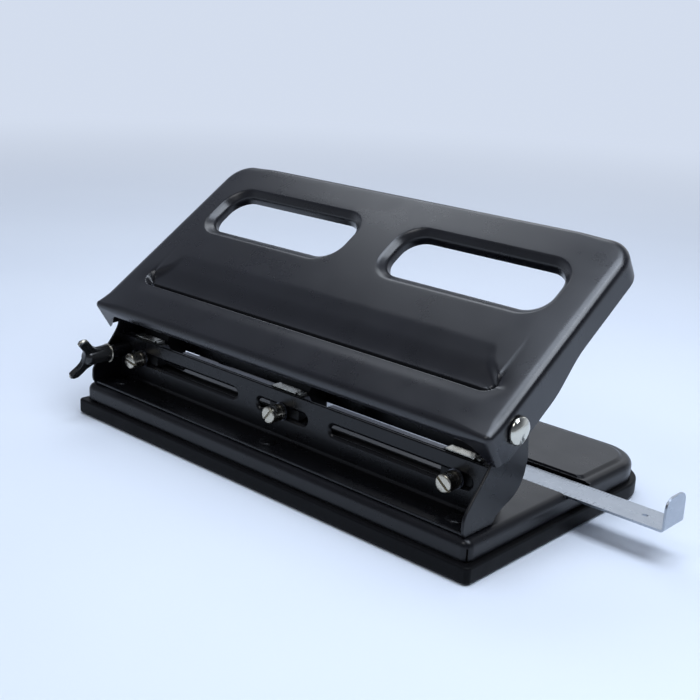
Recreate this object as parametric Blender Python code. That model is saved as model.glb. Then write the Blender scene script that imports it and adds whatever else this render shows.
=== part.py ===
# Adjustable three-head lever paper punch.
# X runs along the length, Y towards the lever's free end, Z is up, metres.
# The origin is at table level under the middle of the whole outline; dimensions
# below are laid out from the middle of the base and shifted at the end.
import bpy
import bmesh
import math
from mathutils import Matrix, Vector, geometry

MM = 0.001

# ---- base -------------------------------------------------------------
BASE_HALF_X = 135.0 * MM
BASE_HALF_Y = 77.5 * MM
FRONT_Y = -BASE_HALF_Y
FOOT_DROP = 0.8 * MM
TRAY_TOP_Z = 8.4 * MM
TRAY_WALL = 2.4 * MM
TRAY_FRONT_R = 2.5 * MM
TRAY_REAR_R = 25.0 * MM
SHELL_INSET = 3.0 * MM
SHELL_BOTTOM_Z = 8.9 * MM
DECK_Z = 18.0 * MM
SHELL_EDGE_R = 3.6 * MM
SHELL_T = 1.0 * MM
PLATFORM_RISE = 1.0 * MM
CHANNEL_Y0 = FRONT_Y + 77.2 * MM
CHANNEL_Y1 = FRONT_Y + 97.4 * MM
CHANNEL_FLOOR_Z = 15.6 * MM
CHANNEL_X0 = -112.0 * MM
CHIP_SLOT_Y0 = FRONT_Y + 36.5 * MM
CHIP_SLOT_Y1 = FRONT_Y + 45.5 * MM
DOOR_HALF_X = 100.0 * MM
DOOR_Y0 = FRONT_Y + 26.0 * MM
DOOR_Y1 = FRONT_Y + 84.0 * MM

# ---- punch frame --------------------------------------------------------
SHEET = 1.5 * MM
FRAME_HALF_X = 128.0 * MM
FLOOR_Z0 = DECK_Z + 0.15 * MM
FLOOR_Y0 = FRONT_Y + 6.0 * MM
WALL_Y = FRONT_Y + 23.5 * MM
WALL_TOP_Z = 43.8 * MM
SLOT_Z = 33.5 * MM
SLOT_H = 5.0 * MM
SLOT_RIM = 1.3 * MM
SIDE_SLOT_X0 = 32.5 * MM
SIDE_SLOT_X1 = 116.0 * MM
MID_SLOT_HALF = 17.0 * MM
HINGE_Y = FRONT_Y + 29.5 * MM
HINGE_Z = 61.7 * MM

# ---- lever --------------------------------------------------------------
LEVER_DEG = 33.4
LEVER_Y = FRONT_Y + 8.73 * MM
LEVER_Z = 62.09 * MM
LEVER_HALF_X = 132.4 * MM
LEVER_LEN = 126.2 * MM
LEVER_T = 1.2 * MM
LEVER_CORNER_R = 15.0 * MM
LEVER_EDGE_R = 4.5 * MM
WINDOW_S = 87.0 * MM
WINDOW_X = 63.8 * MM
WINDOW_LEN = 93.4 * MM
WINDOW_H = 29.0 * MM
WINDOW_RIM = 5.3 * MM
WINDOW_DEPTH = 4.8 * MM
GROOVE_S = 29.2 * MM
GROOVE_HALF = 117.0 * MM
GROOVE_DEPTH = 3.6 * MM

# ---- punch heads ----------------------------------------------------------
HEAD_PITCH = 108.0 * MM
HEAD_HALF_X = 10.0 * MM
HEAD_Y0 = FRONT_Y + 25.5 * MM
HEAD_Y1 = FRONT_Y + 45.4 * MM
HEAD_Z0 = 18.4 * MM
THROAT_Z0 = 22.2 * MM
THROAT_Z1 = 24.6 * MM
THROAT_Y = FRONT_Y + 34.6 * MM
HEAD_Z1 = 46.6 * MM
PUNCH_Y = FRONT_Y + 41.0 * MM
PUNCH_R = 3.0 * MM
ROD_Y = FRONT_Y + 31.0 * MM
ROD_R = 3.0 * MM
ROD_LOW_Z = 28.0 * MM
BAR_Y0 = FRONT_Y + 26.9 * MM
BAR_Y1 = FRONT_Y + 30.3 * MM
BAR_Z0 = 39.8 * MM
BAR_Z1 = 43.1 * MM
HEAD_SHOULDER_Z = 43.9 * MM
PIN_Z0 = 25.0 * MM
COVER_Y0 = FRONT_Y + 46.1 * MM
COVER_Y1 = FRONT_Y + 47.1 * MM
COVER_Z0 = 35.8 * MM
COVER_Z1 = 46.5 * MM
XC = FRAME_HALF_X - SHEET - 0.05 * MM
PIN_Z1 = 60.0 * MM
COLLAR_Z0 = 56.2 * MM

# ---- paper guide ------------------------------------------------------------
GUIDE_Y0 = FRONT_Y + 78.4 * MM
GUIDE_Y1 = FRONT_Y + 95.5 * MM
GUIDE_X0 = -60.0 * MM
GUIDE_X1 = 180.3 * MM
GUIDE_Z0 = 15.9 * MM
GUIDE_T = 1.1 * MM
TAB_H = 15.5 * MM

# ---- where the base's middle lies from the frame's origin ------------------------
ORIGIN_X = -21.925 * MM
ORIGIN_Y = 5.775 * MM

# ---- screws -------------------------------------------------------------------
WING_X = -121.4 * MM
WING_Z = 36.0 * MM

for ob in list(bpy.data.objects):
    bpy.data.objects.remove(ob, do_unlink=True)


def material(name, colour, rough, metal):
    m = bpy.data.materials.new(name)
    m.use_nodes = True
    b = m.node_tree.nodes["Principled BSDF"]
    b.inputs["Base Color"].default_value = (colour[0], colour[1], colour[2], 1.0)
    b.inputs["Roughness"].default_value = rough
    b.inputs["Metallic"].default_value = metal
    return m


BLACK = (0.012, 0.012, 0.015)
STEEL = (0.62, 0.64, 0.68)
NICKEL = (0.72, 0.69, 0.62)


def finish(bm, name, colour, rough, metal, smooth=True, angle=35.0):
    bmesh.ops.recalc_face_normals(bm, faces=bm.faces)
    me = bpy.data.meshes.new(name)
    bm.to_mesh(me)
    bm.free()
    ob = bpy.data.objects.new(name, me)
    bpy.context.scene.collection.objects.link(ob)
    me.materials.append(material(name + "_finish", colour, rough, metal))
    if smooth:
        for p in me.polygons:
            p.use_smooth = True
        me.set_sharp_from_angle(angle=math.radians(angle))
    return ob


def cutter(bm, name):
    bmesh.ops.recalc_face_normals(bm, faces=bm.faces)
    me = bpy.data.meshes.new(name)
    bm.to_mesh(me)
    bm.free()
    ob = bpy.data.objects.new(name, me)
    bpy.context.scene.collection.objects.link(ob)
    ob.hide_render = True
    ob.display_type = 'WIRE'
    return ob


def cut(ob, tool, op='DIFFERENCE'):
    m = ob.modifiers.new("cut", 'BOOLEAN')
    m.operation = op
    m.solver = 'EXACT'
    m.object = tool


def set_origin(ob, point):
    # put the object's origin on its joint axis without moving the shape
    p = Vector(point)
    ob.data.transform(Matrix.Translation(-p))
    ob.location = p


def box(bm, x0, x1, y0, y1, z0, z1):
    r = bmesh.ops.create_cube(bm, size=1.0)
    c = Vector(((x0 + x1) / 2, (y0 + y1) / 2, (z0 + z1) / 2))
    s = Vector((x1 - x0, y1 - y0, z1 - z0))
    for v in r["verts"]:
        v.co = Vector((v.co.x * s.x, v.co.y * s.y, v.co.z * s.z)) + c
    return r["verts"]


def cyl(bm, centre, axis, r0, r1, length, seg=32):
    # closed cylinder or cone starting at centre and running along axis
    a = Vector(axis).normalized()
    rot = Vector((0, 0, 1)).rotation_difference(a).to_matrix().to_4x4()
    mid = Vector(centre) + a * (length / 2)
    return bmesh.ops.create_cone(bm, cap_ends=True, cap_tris=False, segments=seg,
                                 radius1=r0, radius2=r1, depth=length,
                                 matrix=Matrix.Translation(mid) @ rot)["verts"]


def lathe(bm, profile, centre, axis, seg=32):
    # profile is (radius, distance along the axis), first and last radius zero
    a = Vector(axis).normalized()
    rot = Vector((0, 0, 1)).rotation_difference(a).to_matrix()
    rings = []
    for r, h in profile:
        if r <= 1e-9:
            rings.append([bm.verts.new(Vector(centre) + rot @ Vector((0, 0, h)))])
        else:
            rings.append([bm.verts.new(Vector(centre) + rot @ Vector((
                r * math.cos(2 * math.pi * i / seg), r * math.sin(2 * math.pi * i / seg), h)))
                for i in range(seg)])
    for a_, b_ in zip(rings, rings[1:]):
        for i in range(seg):
            j = (i + 1) % seg
            if len(a_) == 1:
                bm.faces.new((a_[0], b_[i], b_[j]))
            elif len(b_) == 1:
                bm.faces.new((a_[i], a_[j], b_[0]))
            else:
                bm.faces.new((a_[i], a_[j], b_[j], b_[i]))


def prism(bm, outline, to3d, lo, hi):
    # closed prism: 2-D outline placed by to3d(u, v, w) between w = lo and w = hi
    a = [bm.verts.new(to3d(u, v, lo)) for u, v in outline]
    b = [bm.verts.new(to3d(u, v, hi)) for u, v in outline]
    n = len(outline)
    bm.faces.new(a)
    bm.faces.new(list(reversed(b)))
    for i in range(n):
        j = (i + 1) % n
        bm.faces.new((a[i], b[i], b[j], a[j]))


def rounded(x0, x1, y0, y1, radii, seg=6):
    # rounded rectangle outline, anticlockwise from the low-x low-y corner
    out = []
    corners = [(x0, y0, 180, radii[0]), (x1, y0, 270, radii[1]),
               (x1, y1, 0, radii[2]), (x0, y1, 90, radii[3])]
    for cx, cy, a0, r in corners:
        ox = cx + (r if cx == x0 else -r)
        oy = cy + (r if cy == y0 else -r)
        for k in range(seg + 1):
            a = math.radians(a0 + 90.0 * k / seg)
            out.append((ox + r * math.cos(a), oy + r * math.sin(a)))
    return out


def xy(u, v, w):
    return Vector((u, v, w))


def yz(u, v, w):
    return Vector((w, u, v))


# =====================================================================
# base tray with its chip door
# =====================================================================
bm = bmesh.new()
tray_radii = (TRAY_FRONT_R, TRAY_FRONT_R, TRAY_REAR_R, TRAY_REAR_R)
prism(bm, rounded(-BASE_HALF_X, BASE_HALF_X, -BASE_HALF_Y, BASE_HALF_Y, tray_radii, 8), xy,
      FOOT_DROP, TRAY_TOP_Z)
tray = finish(bm, "base_tray", (0.016, 0.016, 0.018), 0.45, 0.0)
bm = bmesh.new()
w = SHELL_INSET + SHELL_T + 0.4 * MM
inner_radii = (1.0 * MM, 1.0 * MM, TRAY_REAR_R - w, TRAY_REAR_R - w)
prism(bm, rounded(-BASE_HALF_X + w, BASE_HALF_X - w, -BASE_HALF_Y + w, BASE_HALF_Y - w, inner_radii, 8), xy,
      FOOT_DROP + 2.2 * MM, TRAY_TOP_Z + 5 * MM)
cut(tray, cutter(bm, "tray_hollow"))
bm = bmesh.new()
box(bm, -DOOR_HALF_X, DOOR_HALF_X, DOOR_Y0, DOOR_Y1, -5 * MM, 6 * MM)
cut(tray, cutter(bm, "tray_door_hole"))

bm = bmesh.new()
g = 0.5 * MM
prism(bm, rounded(-DOOR_HALF_X + g, DOOR_HALF_X - g, DOOR_Y0 + g, DOOR_Y1 - g, (2 * MM,) * 4, 4), xy,
      FOOT_DROP + 0.1 * MM, FOOT_DROP + 1.9 * MM)
door = finish(bm, "chip_door", (0.020, 0.020, 0.022), 0.5, 0.0)
bm = bmesh.new()
prism(bm, rounded(-16 * MM, 16 * MM, DOOR_Y0 - 2 * MM, DOOR_Y0 + 7 * MM, (3 * MM,) * 4, 4), xy,
      -5 * MM, FOOT_DROP + 0.9 * MM)
cut(door, cutter(bm, "door_finger_cut"))
set_origin(door, (0, DOOR_Y1 - g, FOOT_DROP + 0.1 * MM))

for i, (fx, fy) in enumerate(((-118, 12), (118, 12), (-112, 138), (112, 138))):
    bm = bmesh.new()
    lathe(bm, [(0, 0), (6.0 * MM, 0), (6.4 * MM, 0.25 * MM), (6.4 * MM, 0.7 * MM), (0, 0.7 * MM)],
          (fx * MM, FRONT_Y + fy * MM, 0.0), (0, 0, 1), 28)
    finish(bm, "foot_%d" % (i + 1), (0.03, 0.03, 0.03), 0.8, 0.0)

# =====================================================================
# pressed steel base shell: skirt, rounded edge, deck, platform and channel
# =====================================================================


def inside(pt, poly):
    hit = False
    for i in range(len(poly)):
        (ax, ay), (bx, by) = poly[i - 1], poly[i]
        if (ay > pt[1]) != (by > pt[1]) and pt[0] < (bx - ax) * (pt[1] - ay) / (by - ay) + ax:
            hit = not hit
    return hit


def fill_cap(bm, verts, pts, spans):
    # triangles between the outer loop (the first span) and the loops inside it
    edges = [(a + i, a + (i + 1) % m) for a, m in spans for i in range(m)]
    out = geometry.delaunay_2d_cdt([Vector(p) for p in pts], edges, [], 0, 1e-9)
    polys = [pts[a:a + m] for a, m in spans]
    for f in out[2]:
        ids = [out[3][k][0] for k in f]
        c = (sum(pts[k][0] for k in ids) / 3, sum(pts[k][1] for k in ids) / 3)
        if inside(c, polys[0]) and not any(inside(c, q) for q in polys[1:]):
            bm.faces.new([verts[k] for k in ids])


def skirt_cap(bm, outline, normals, place, top, depth, edge_r, recesses, arc=4):
    # A pan made of one skin: skirt, rounded edge and a cap with drawn areas.
    # place(x, y, n) puts a plan point at height n; depth is a list per point.
    n = len(outline)
    rings = [[bm.verts.new(place(outline[i][0], outline[i][1], top - depth[i])) for i in range(n)]]
    for k in range(arc + 1):
        a = math.radians(90.0 * k / arc)
        off = edge_r * (1 - math.cos(a))
        h = top - edge_r * (1 - math.sin(a))
        rings.append([bm.verts.new(place(outline[i][0] - normals[i][0] * off,
                                         outline[i][1] - normals[i][1] * off, h)) for i in range(n)])
    for a_, b_ in zip(rings, rings[1:]):
        for i in range(n):
            j = (i + 1) % n
            bm.faces.new((a_[i], a_[j], b_[j], b_[i]))
    flat = list(rings[-1])
    plan2 = [(outline[i][0] - normals[i][0] * edge_r, outline[i][1] - normals[i][1] * edge_r) for i in range(n)]
    bounds2 = [(0, n)]
    for loops, closed in recesses:
        prev = None
        for lp in loops:
            cur = [bm.verts.new(place(x, y, top + h)) for x, y, h in lp]
            m = len(cur)
            if prev is not None:
                for i in range(m):
                    j = (i + 1) % m
                    bm.faces.new((prev[i], prev[j], cur[j], cur[i]))
            else:
                bounds2.append((len(flat), m))
                flat += cur
                plan2 += [(x, y) for x, y, h in lp]
            prev = cur
        if closed:
            bm.faces.new(prev)
    fill_cap(bm, flat, plan2, bounds2)


def drawn(x0, x1, y0, y1, r, rim, rise, steps, seg=5):
    # rings of a drawn recess (rise < 0) or a raised pad (rise > 0), S-shaped wall
    loops = []
    for k in range(steps + 1):
        t = k / steps
        s = t * t * (3 - 2 * t)
        off = rim * t
        rr = max(r - off, 0.6 * MM)
        loops.append([(x, y, rise * s) for x, y in
                      rounded(x0 + off, x1 - off, y0 + off, y1 - off, (rr,) * 4, seg)])
    return loops


def outline_normals(pts):
    out = []
    n = len(pts)
    for i in range(n):
        ax, ay = pts[i - 1]
        bx, by = pts[(i + 1) % n]
        dx, dy = bx - ax, by - ay
        q = math.hypot(dx, dy)
        out.append((dy / q, -dx / q))
    return out


sx = BASE_HALF_X - SHELL_INSET
sy = BASE_HALF_Y - SHELL_INSET
shell_radii = (4.5 * MM, 4.5 * MM, TRAY_REAR_R - SHELL_INSET, TRAY_REAR_R - SHELL_INSET)
plan = rounded(-sx, sx, -sy, sy, shell_radii, 7)
bm = bmesh.new()
pad = []
inset = SHELL_EDGE_R + 1.0 * MM
for k in range(4):
    t = k / 3
    s = t * t * (3 - 2 * t)
    off = inset + 2.5 * MM * t
    rr = TRAY_REAR_R - SHELL_INSET - off
    pad.append([(x, y, PLATFORM_RISE * s) for x, y in
                rounded(-sx + off, sx - off, CHANNEL_Y1 + 0.6 * MM + 0.8 * MM * t, sy - off,
                        (3 * MM, 3 * MM, rr, rr), 5)])
skirt_cap(bm, plan, outline_normals(plan), xy, DECK_Z, [DECK_Z - SHELL_BOTTOM_Z] * len(plan),
          SHELL_EDGE_R, [(pad, True)])
shell = finish(bm, "base_shell", BLACK, 0.28, 0.0)
m = shell.modifiers.new("sheet", 'SOLIDIFY')
m.thickness = SHELL_T
m.offset = -1.0
m.use_even_offset = True
# trough welded under the deck, then the channel cut open through the right flange
bm = bmesh.new()
q = 1.0 * MM
prism(bm, rounded(CHANNEL_X0 - q, sx - 0.5 * MM, CHANNEL_Y0 - q, CHANNEL_Y1 + q, (3 * MM, 0.4 * MM, 0.4 * MM, 3 * MM), 4), xy,
      CHANNEL_FLOOR_Z - 1.1 * MM, DECK_Z - 0.55 * MM)
cut(shell, cutter(bm, "channel_trough"), 'UNION')
bm = bmesh.new()
prism(bm, rounded(CHANNEL_X0, sx + 5 * MM, CHANNEL_Y0, CHANNEL_Y1, (2 * MM, 0.4 * MM, 0.4 * MM, 2 * MM), 4), xy,
      CHANNEL_FLOOR_Z, DECK_Z + 6 * MM)
cut(shell, cutter(bm, "channel_void"))
bm = bmesh.new()
prism(bm, rounded(-120 * MM, 120 * MM, CHIP_SLOT_Y0, CHIP_SLOT_Y1, (3 * MM,) * 4, 4), xy,
      DECK_Z - 8 * MM, DECK_Z + 6 * MM)
cut(shell, cutter(bm, "chip_slot_cut"))

# =====================================================================
# punch frame: floor flange, slotted front wall and two end plates
# =====================================================================
end_profile = [(5.6, 18.15), (4.4, 20.4), (4.1, 23.2), (4.9, 27.6), (10.2, 34.5), (16.4, 41.3), (20.6, 47.0),
               (22.0, 51.0), (22.4, 56.0), (21.2, 62.0), (21.6, 66.0), (24.0, 69.1), (27.4, 71.0), (31.6, 71.0),
               (35.4, 69.1), (38.4, 66.3), (43.2, 62.4), (45.8, 57.5), (47.2, 49.4), (47.8, 43.6),
               (47.2, 39.8), (45.9, 34.8), (43.2, 30.4), (38.6, 26.7), (32.4, 24.2), (28.6, 22.3),
               (26.4, 20.4), (25.2, 18.15)]
end_profile = [(FRONT_Y + a * MM, b * MM) for a, b in end_profile]
bm = bmesh.new()
prism(bm, end_profile, yz, -FRAME_HALF_X, FRAME_HALF_X)
frame = finish(bm, "punch_frame", BLACK, 0.30, 0.0)
bm = bmesh.new()
xi = FRAME_HALF_X - SHEET
box(bm, -xi, xi, FRONT_Y - 5 * MM, WALL_Y, FLOOR_Z0 + SHEET, 90 * MM)
cut(frame, cutter(bm, "frame_front_void"))
bm = bmesh.new()
box(bm, -xi, xi, WALL_Y + SHEET, FRONT_Y + 70 * MM, FLOOR_Z0 - 5 * MM, 90 * MM)
cut(frame, cutter(bm, "frame_rear_void"))
bm = bmesh.new()
box(bm, -xi, xi, WALL_Y - 3 * MM, WALL_Y + 3 * MM, WALL_TOP_Z, 90 * MM)
cut(frame, cutter(bm, "frame_wall_top"))


def slot_tool(x0, x1, name):
    # straight through, opening out into a coined rim on the front face
    b = bmesh.new()
    r = SLOT_H / 2 - 0.01 * MM
    layers = []
    for w, grow in ((WALL_Y - 3 * MM, SLOT_RIM), (WALL_Y, SLOT_RIM), (WALL_Y + 0.45 * MM, 0.45 * SLOT_RIM),
                    (WALL_Y + 1.1 * MM, 0.0), (WALL_Y + 5 * MM, 0.0)):
        layers.append([b.verts.new(Vector((u, w, v))) for u, v in
                       rounded(x0 - grow, x1 + grow, SLOT_Z - SLOT_H / 2 - grow, SLOT_Z + SLOT_H / 2 + grow,
                               (r + grow,) * 4, 5)])
    for p, q in zip(layers, layers[1:]):
        for k in range(len(p)):
            j = (k + 1) % len(p)
            b.faces.new((p[k], p[j], q[j], q[k]))
    b.faces.new(layers[0])
    b.faces.new(list(reversed(layers[-1])))
    return cutter(b, name)


cut(frame, slot_tool(-SIDE_SLOT_X1, -SIDE_SLOT_X0, "slot_left"))
cut(frame, slot_tool(-MID_SLOT_HALF, MID_SLOT_HALF, "slot_middle"))
cut(frame, slot_tool(SIDE_SLOT_X0, SIDE_SLOT_X1, "slot_right"))
bm = bmesh.new()
cyl(bm, (WING_X, WALL_Y - 3 * MM, WING_Z), (0, 1, 0), 2.7 * MM, 2.7 * MM, 8 * MM, 24)
cut(frame, cutter(bm, "wing_hole"))
bm = bmesh.new()
cyl(bm, (-150 * MM, HINGE_Y, HINGE_Z), (1, 0, 0), 3.3 * MM, 3.3 * MM, 300 * MM, 24)
cut(frame, cutter(bm, "hinge_holes"))
bm = bmesh.new()
cyl(bm, (-150 * MM, ROD_Y, ROD_LOW_Z), (1, 0, 0), ROD_R + 0.1 * MM, ROD_R + 0.1 * MM, 300 * MM, 24)
cut(frame, cutter(bm, "rod_holes"))
g = 0.1 * MM
bm = bmesh.new()
box(bm, -150 * MM, 150 * MM, BAR_Y0 - g, BAR_Y1 + g, BAR_Z0 - g, BAR_Z1 + g)
cut(frame, cutter(bm, "bar_holes"))

for i, rx in enumerate((-115.5, 0.0, 115.5)):
    bm = bmesh.new()
    z0 = FLOOR_Z0 + SHEET + 0.02 * MM
    lathe(bm, [(0, 0), (4.5 * MM, 0), (4.5 * MM, 0.3 * MM), (3.9 * MM, 0.75 * MM), (3.0 * MM, 0.9 * MM),
               (0, 0.9 * MM)], (rx * MM, FRONT_Y + 15 * MM, z0), (0, 0, 1), 28)
    finish(bm, "frame_rivet_%d" % (i + 1), BLACK, 0.35, 0.0)

# round rod and flat bar that carry the three punch heads
L = 127.6 * MM
bm = bmesh.new()
lathe(bm, [(0, -L), (ROD_R - 0.5 * MM, -L), (ROD_R, -L + 0.5 * MM), (ROD_R, L - 0.5 * MM),
           (ROD_R - 0.5 * MM, L), (0, L)], (0, ROD_Y, ROD_LOW_Z), (1, 0, 0), 28)
finish(bm, "guide_rod_lower", STEEL, 0.22, 1.0)
bm = bmesh.new()
low = BAR_Z1 - 2.3 * MM
c = 0.4 * MM
bar_side = [(-L, BAR_Z0), (L, BAR_Z0), (L, BAR_Z1), (28 * MM, BAR_Z1), (26 * MM, low), (14 * MM, low),
            (12 * MM, BAR_Z1), (-79 * MM, BAR_Z1), (-81 * MM, low), (-93 * MM, low), (-95 * MM, BAR_Z1), (-L, BAR_Z1)]
prism(bm, bar_side, lambda u, v, w: Vector((u, w, v)), BAR_Y0, BAR_Y1)
finish(bm, "guide_bar_upper", (0.30, 0.31, 0.34), 0.25, 1.0, smooth=False)

# dark cover strip across the back of the heads, let into the end plates
bm = bmesh.new()
box(bm, -XC, XC, COVER_Y0, COVER_Y1, COVER_Z0, COVER_Z1)
finish(bm, "rear_cover", BLACK, 0.3, 0.0, smooth=False)

# =====================================================================
# lever handle, drawn from one sheet
# =====================================================================
ca, sa = math.cos(math.radians(LEVER_DEG)), math.sin(math.radians(LEVER_DEG))


def lever_place(x, s, n):
    return Vector((x, LEVER_Y + s * ca - n * sa, LEVER_Z + s * sa + n * ca))


def smooth(a, b, t):
    t = min(max((t - a) / (b - a), 0.0), 1.0)
    return t * t * (3 - 2 * t)


def lever_depth(x, s):
    # flange depth: deep round the hinge, shallower towards the free end, short front lip
    side = 20.5 * MM - 5.0 * MM * smooth(41 * MM, 71 * MM, s)
    if s < 4.0 * MM:
        return 6.2 * MM + (19.5 * MM - 6.2 * MM) * smooth(122 * MM, 133 * MM, abs(x))
    return side


plan = []
raw = rounded(-LEVER_HALF_X, LEVER_HALF_X, 0.0, LEVER_LEN,
              (5.2 * MM, 5.2 * MM, LEVER_CORNER_R, LEVER_CORNER_R), 7)
for i, p in enumerate(raw):
    q = raw[(i + 1) % len(raw)]
    plan.append(p)
    d = math.hypot(q[0] - p[0], q[1] - p[1])
    step = 8.0 * MM if abs(q[0] - p[0]) < 1e-6 else 6.5 * MM
    if d > 1.5 * step:
        k = int(d / step)
        for j in range(1, k):
            t = j / k
            plan.append((p[0] + (q[0] - p[0]) * t, p[1] + (q[1] - p[1]) * t))
bm = bmesh.new()
areas = []
for wx in (-WINDOW_X, WINDOW_X):
    hx = WINDOW_LEN / 2 + WINDOW_RIM
    hs = WINDOW_H / 2 + WINDOW_RIM
    areas.append((drawn(wx - hx, wx + hx, WINDOW_S - hs, WINDOW_S + hs, 15.5 * MM, WINDOW_RIM,
                        -WINDOW_DEPTH, 5), False))
areas.append((drawn(-GROOVE_HALF, GROOVE_HALF, GROOVE_S - 6 * MM, GROOVE_S + 6 * MM, 5.8 * MM, 5.2 * MM,
                    -GROOVE_DEPTH, 4), True))
skirt_cap(bm, plan, outline_normals(plan), lever_place, 0.0,
          [lever_depth(x, s) for x, s in plan], LEVER_EDGE_R, areas)
lever = finish(bm, "lever_handle", BLACK, 0.24, 0.0)
m = lever.modifiers.new("sheet", 'SOLIDIFY')
m.thickness = LEVER_T
m.offset = -1.0
m.use_even_offset = False
bm = bmesh.new()
cyl(bm, (-150 * MM, HINGE_Y, HINGE_Z), (1, 0, 0), 3.7 * MM, 3.7 * MM, 300 * MM, 24)
cut(lever, cutter(bm, "lever_hinge_holes"))

# press rib under the groove: pushes the three punch pins together
bm = bmesh.new()
rib = [(24.4, -4.85), (24.4, -17.8), (25.2, -18.8), (27.0, -18.8), (27.8, -17.8), (27.8, -6.2), (31.4, -6.2), (31.4, -4.85)]
prism(bm, [(a * MM, b * MM) for a, b in rib],
      lambda u, v, w: lever_place(w, u, v), -119.0 * MM, 119.0 * MM)
finish(bm, "press_rib", (0.30, 0.31, 0.33), 0.35, 1.0)

for side, nm in ((-1, "left"), (1, "right")):
    bm = bmesh.new()
    lathe(bm, [(0, 0), (2.9 * MM, 0), (2.9 * MM, 6.3 * MM), (5.9 * MM, 6.3 * MM), (6.5 * MM, 7.0 * MM),
               (6.3 * MM, 8.2 * MM), (5.2 * MM, 9.2 * MM), (3.4 * MM, 9.9 * MM), (1.5 * MM, 10.2 * MM),
               (0, 10.25 * MM)], (side * 126.2 * MM, HINGE_Y, HINGE_Z), (side, 0, 0), 32)
    finish(bm, "hinge_pin_" + nm, NICKEL, 0.18, 1.0)
    bm = bmesh.new()
    cyl(bm, (side * 128.35 * MM, HINGE_Y, HINGE_Z), (side, 0, 0), 7.0 * MM, 7.0 * MM, 2.2 * MM, 28)
    washer = finish(bm, "hinge_washer_" + nm, (0.55, 0.55, 0.53), 0.5, 0.0)
    bm = bmesh.new()
    cyl(bm, (side * 120 * MM, HINGE_Y, HINGE_Z), (side, 0, 0), 3.3 * MM, 3.3 * MM, 20 * MM, 24)
    cut(washer, cutter(bm, "washer_bore_" + nm))

# =====================================================================
# three punch heads with pin, collar, spring, clamp washer and thumb screw
# =====================================================================
head_profile = [(HEAD_Y0, HEAD_SHOULDER_Z), (HEAD_Y0, HEAD_Z0), (HEAD_Y1 - 1.2 * MM, HEAD_Z0), (HEAD_Y1, HEAD_Z0 + 1.2 * MM),
                (HEAD_Y1, THROAT_Z0 - 0.9 * MM), (HEAD_Y1 - 1.4 * MM, THROAT_Z0), (THROAT_Y, THROAT_Z0),
                (THROAT_Y, THROAT_Z1), (HEAD_Y1 - 1.4 * MM, THROAT_Z1), (HEAD_Y1, THROAT_Z1 + 0.9 * MM),
                (HEAD_Y1, HEAD_Z1 - 2.0 * MM), (HEAD_Y1 - 2.0 * MM, HEAD_Z1), (BAR_Y1 + 3.2 * MM, HEAD_Z1), (BAR_Y1 + 2.0 * MM, HEAD_SHOULDER_Z)]


def spring(name, x, z0, z1, turns, coil_r, wire_r):
    # round wire swept along a helix, flat closed ends
    b = bmesh.new()
    n = int(turns * 14)
    seg = 7
    rings = []
    for i in range(n + 1):
        t = i / n
        a = 2 * math.pi * turns * t
        lead = smooth(0.0, 0.16, t) * 0.5 + smooth(0.84, 1.0, t) * 0.5
        z = z0 + wire_r + (z1 - z0 - 2 * wire_r) * (0.10 * lead + 0.90 * t)
        c = Vector((x + coil_r * math.cos(a), PUNCH_Y + coil_r * math.sin(a), z))
        radial = Vector((math.cos(a), math.sin(a), 0))
        rings.append([b.verts.new(c + radial * wire_r * math.cos(2 * math.pi * k / seg)
                                  + Vector((0, 0, wire_r * math.sin(2 * math.pi * k / seg))))
                      for k in range(seg)])
    for p, q in zip(rings, rings[1:]):
        for k in range(seg):
            j = (k + 1) % seg
            b.faces.new((p[k], p[j], q[j], q[k]))
    b.faces.new(rings[0])
    b.faces.new(list(reversed(rings[-1])))
    return finish(b, name, (0.55, 0.56, 0.58), 0.3, 1.0)


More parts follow.
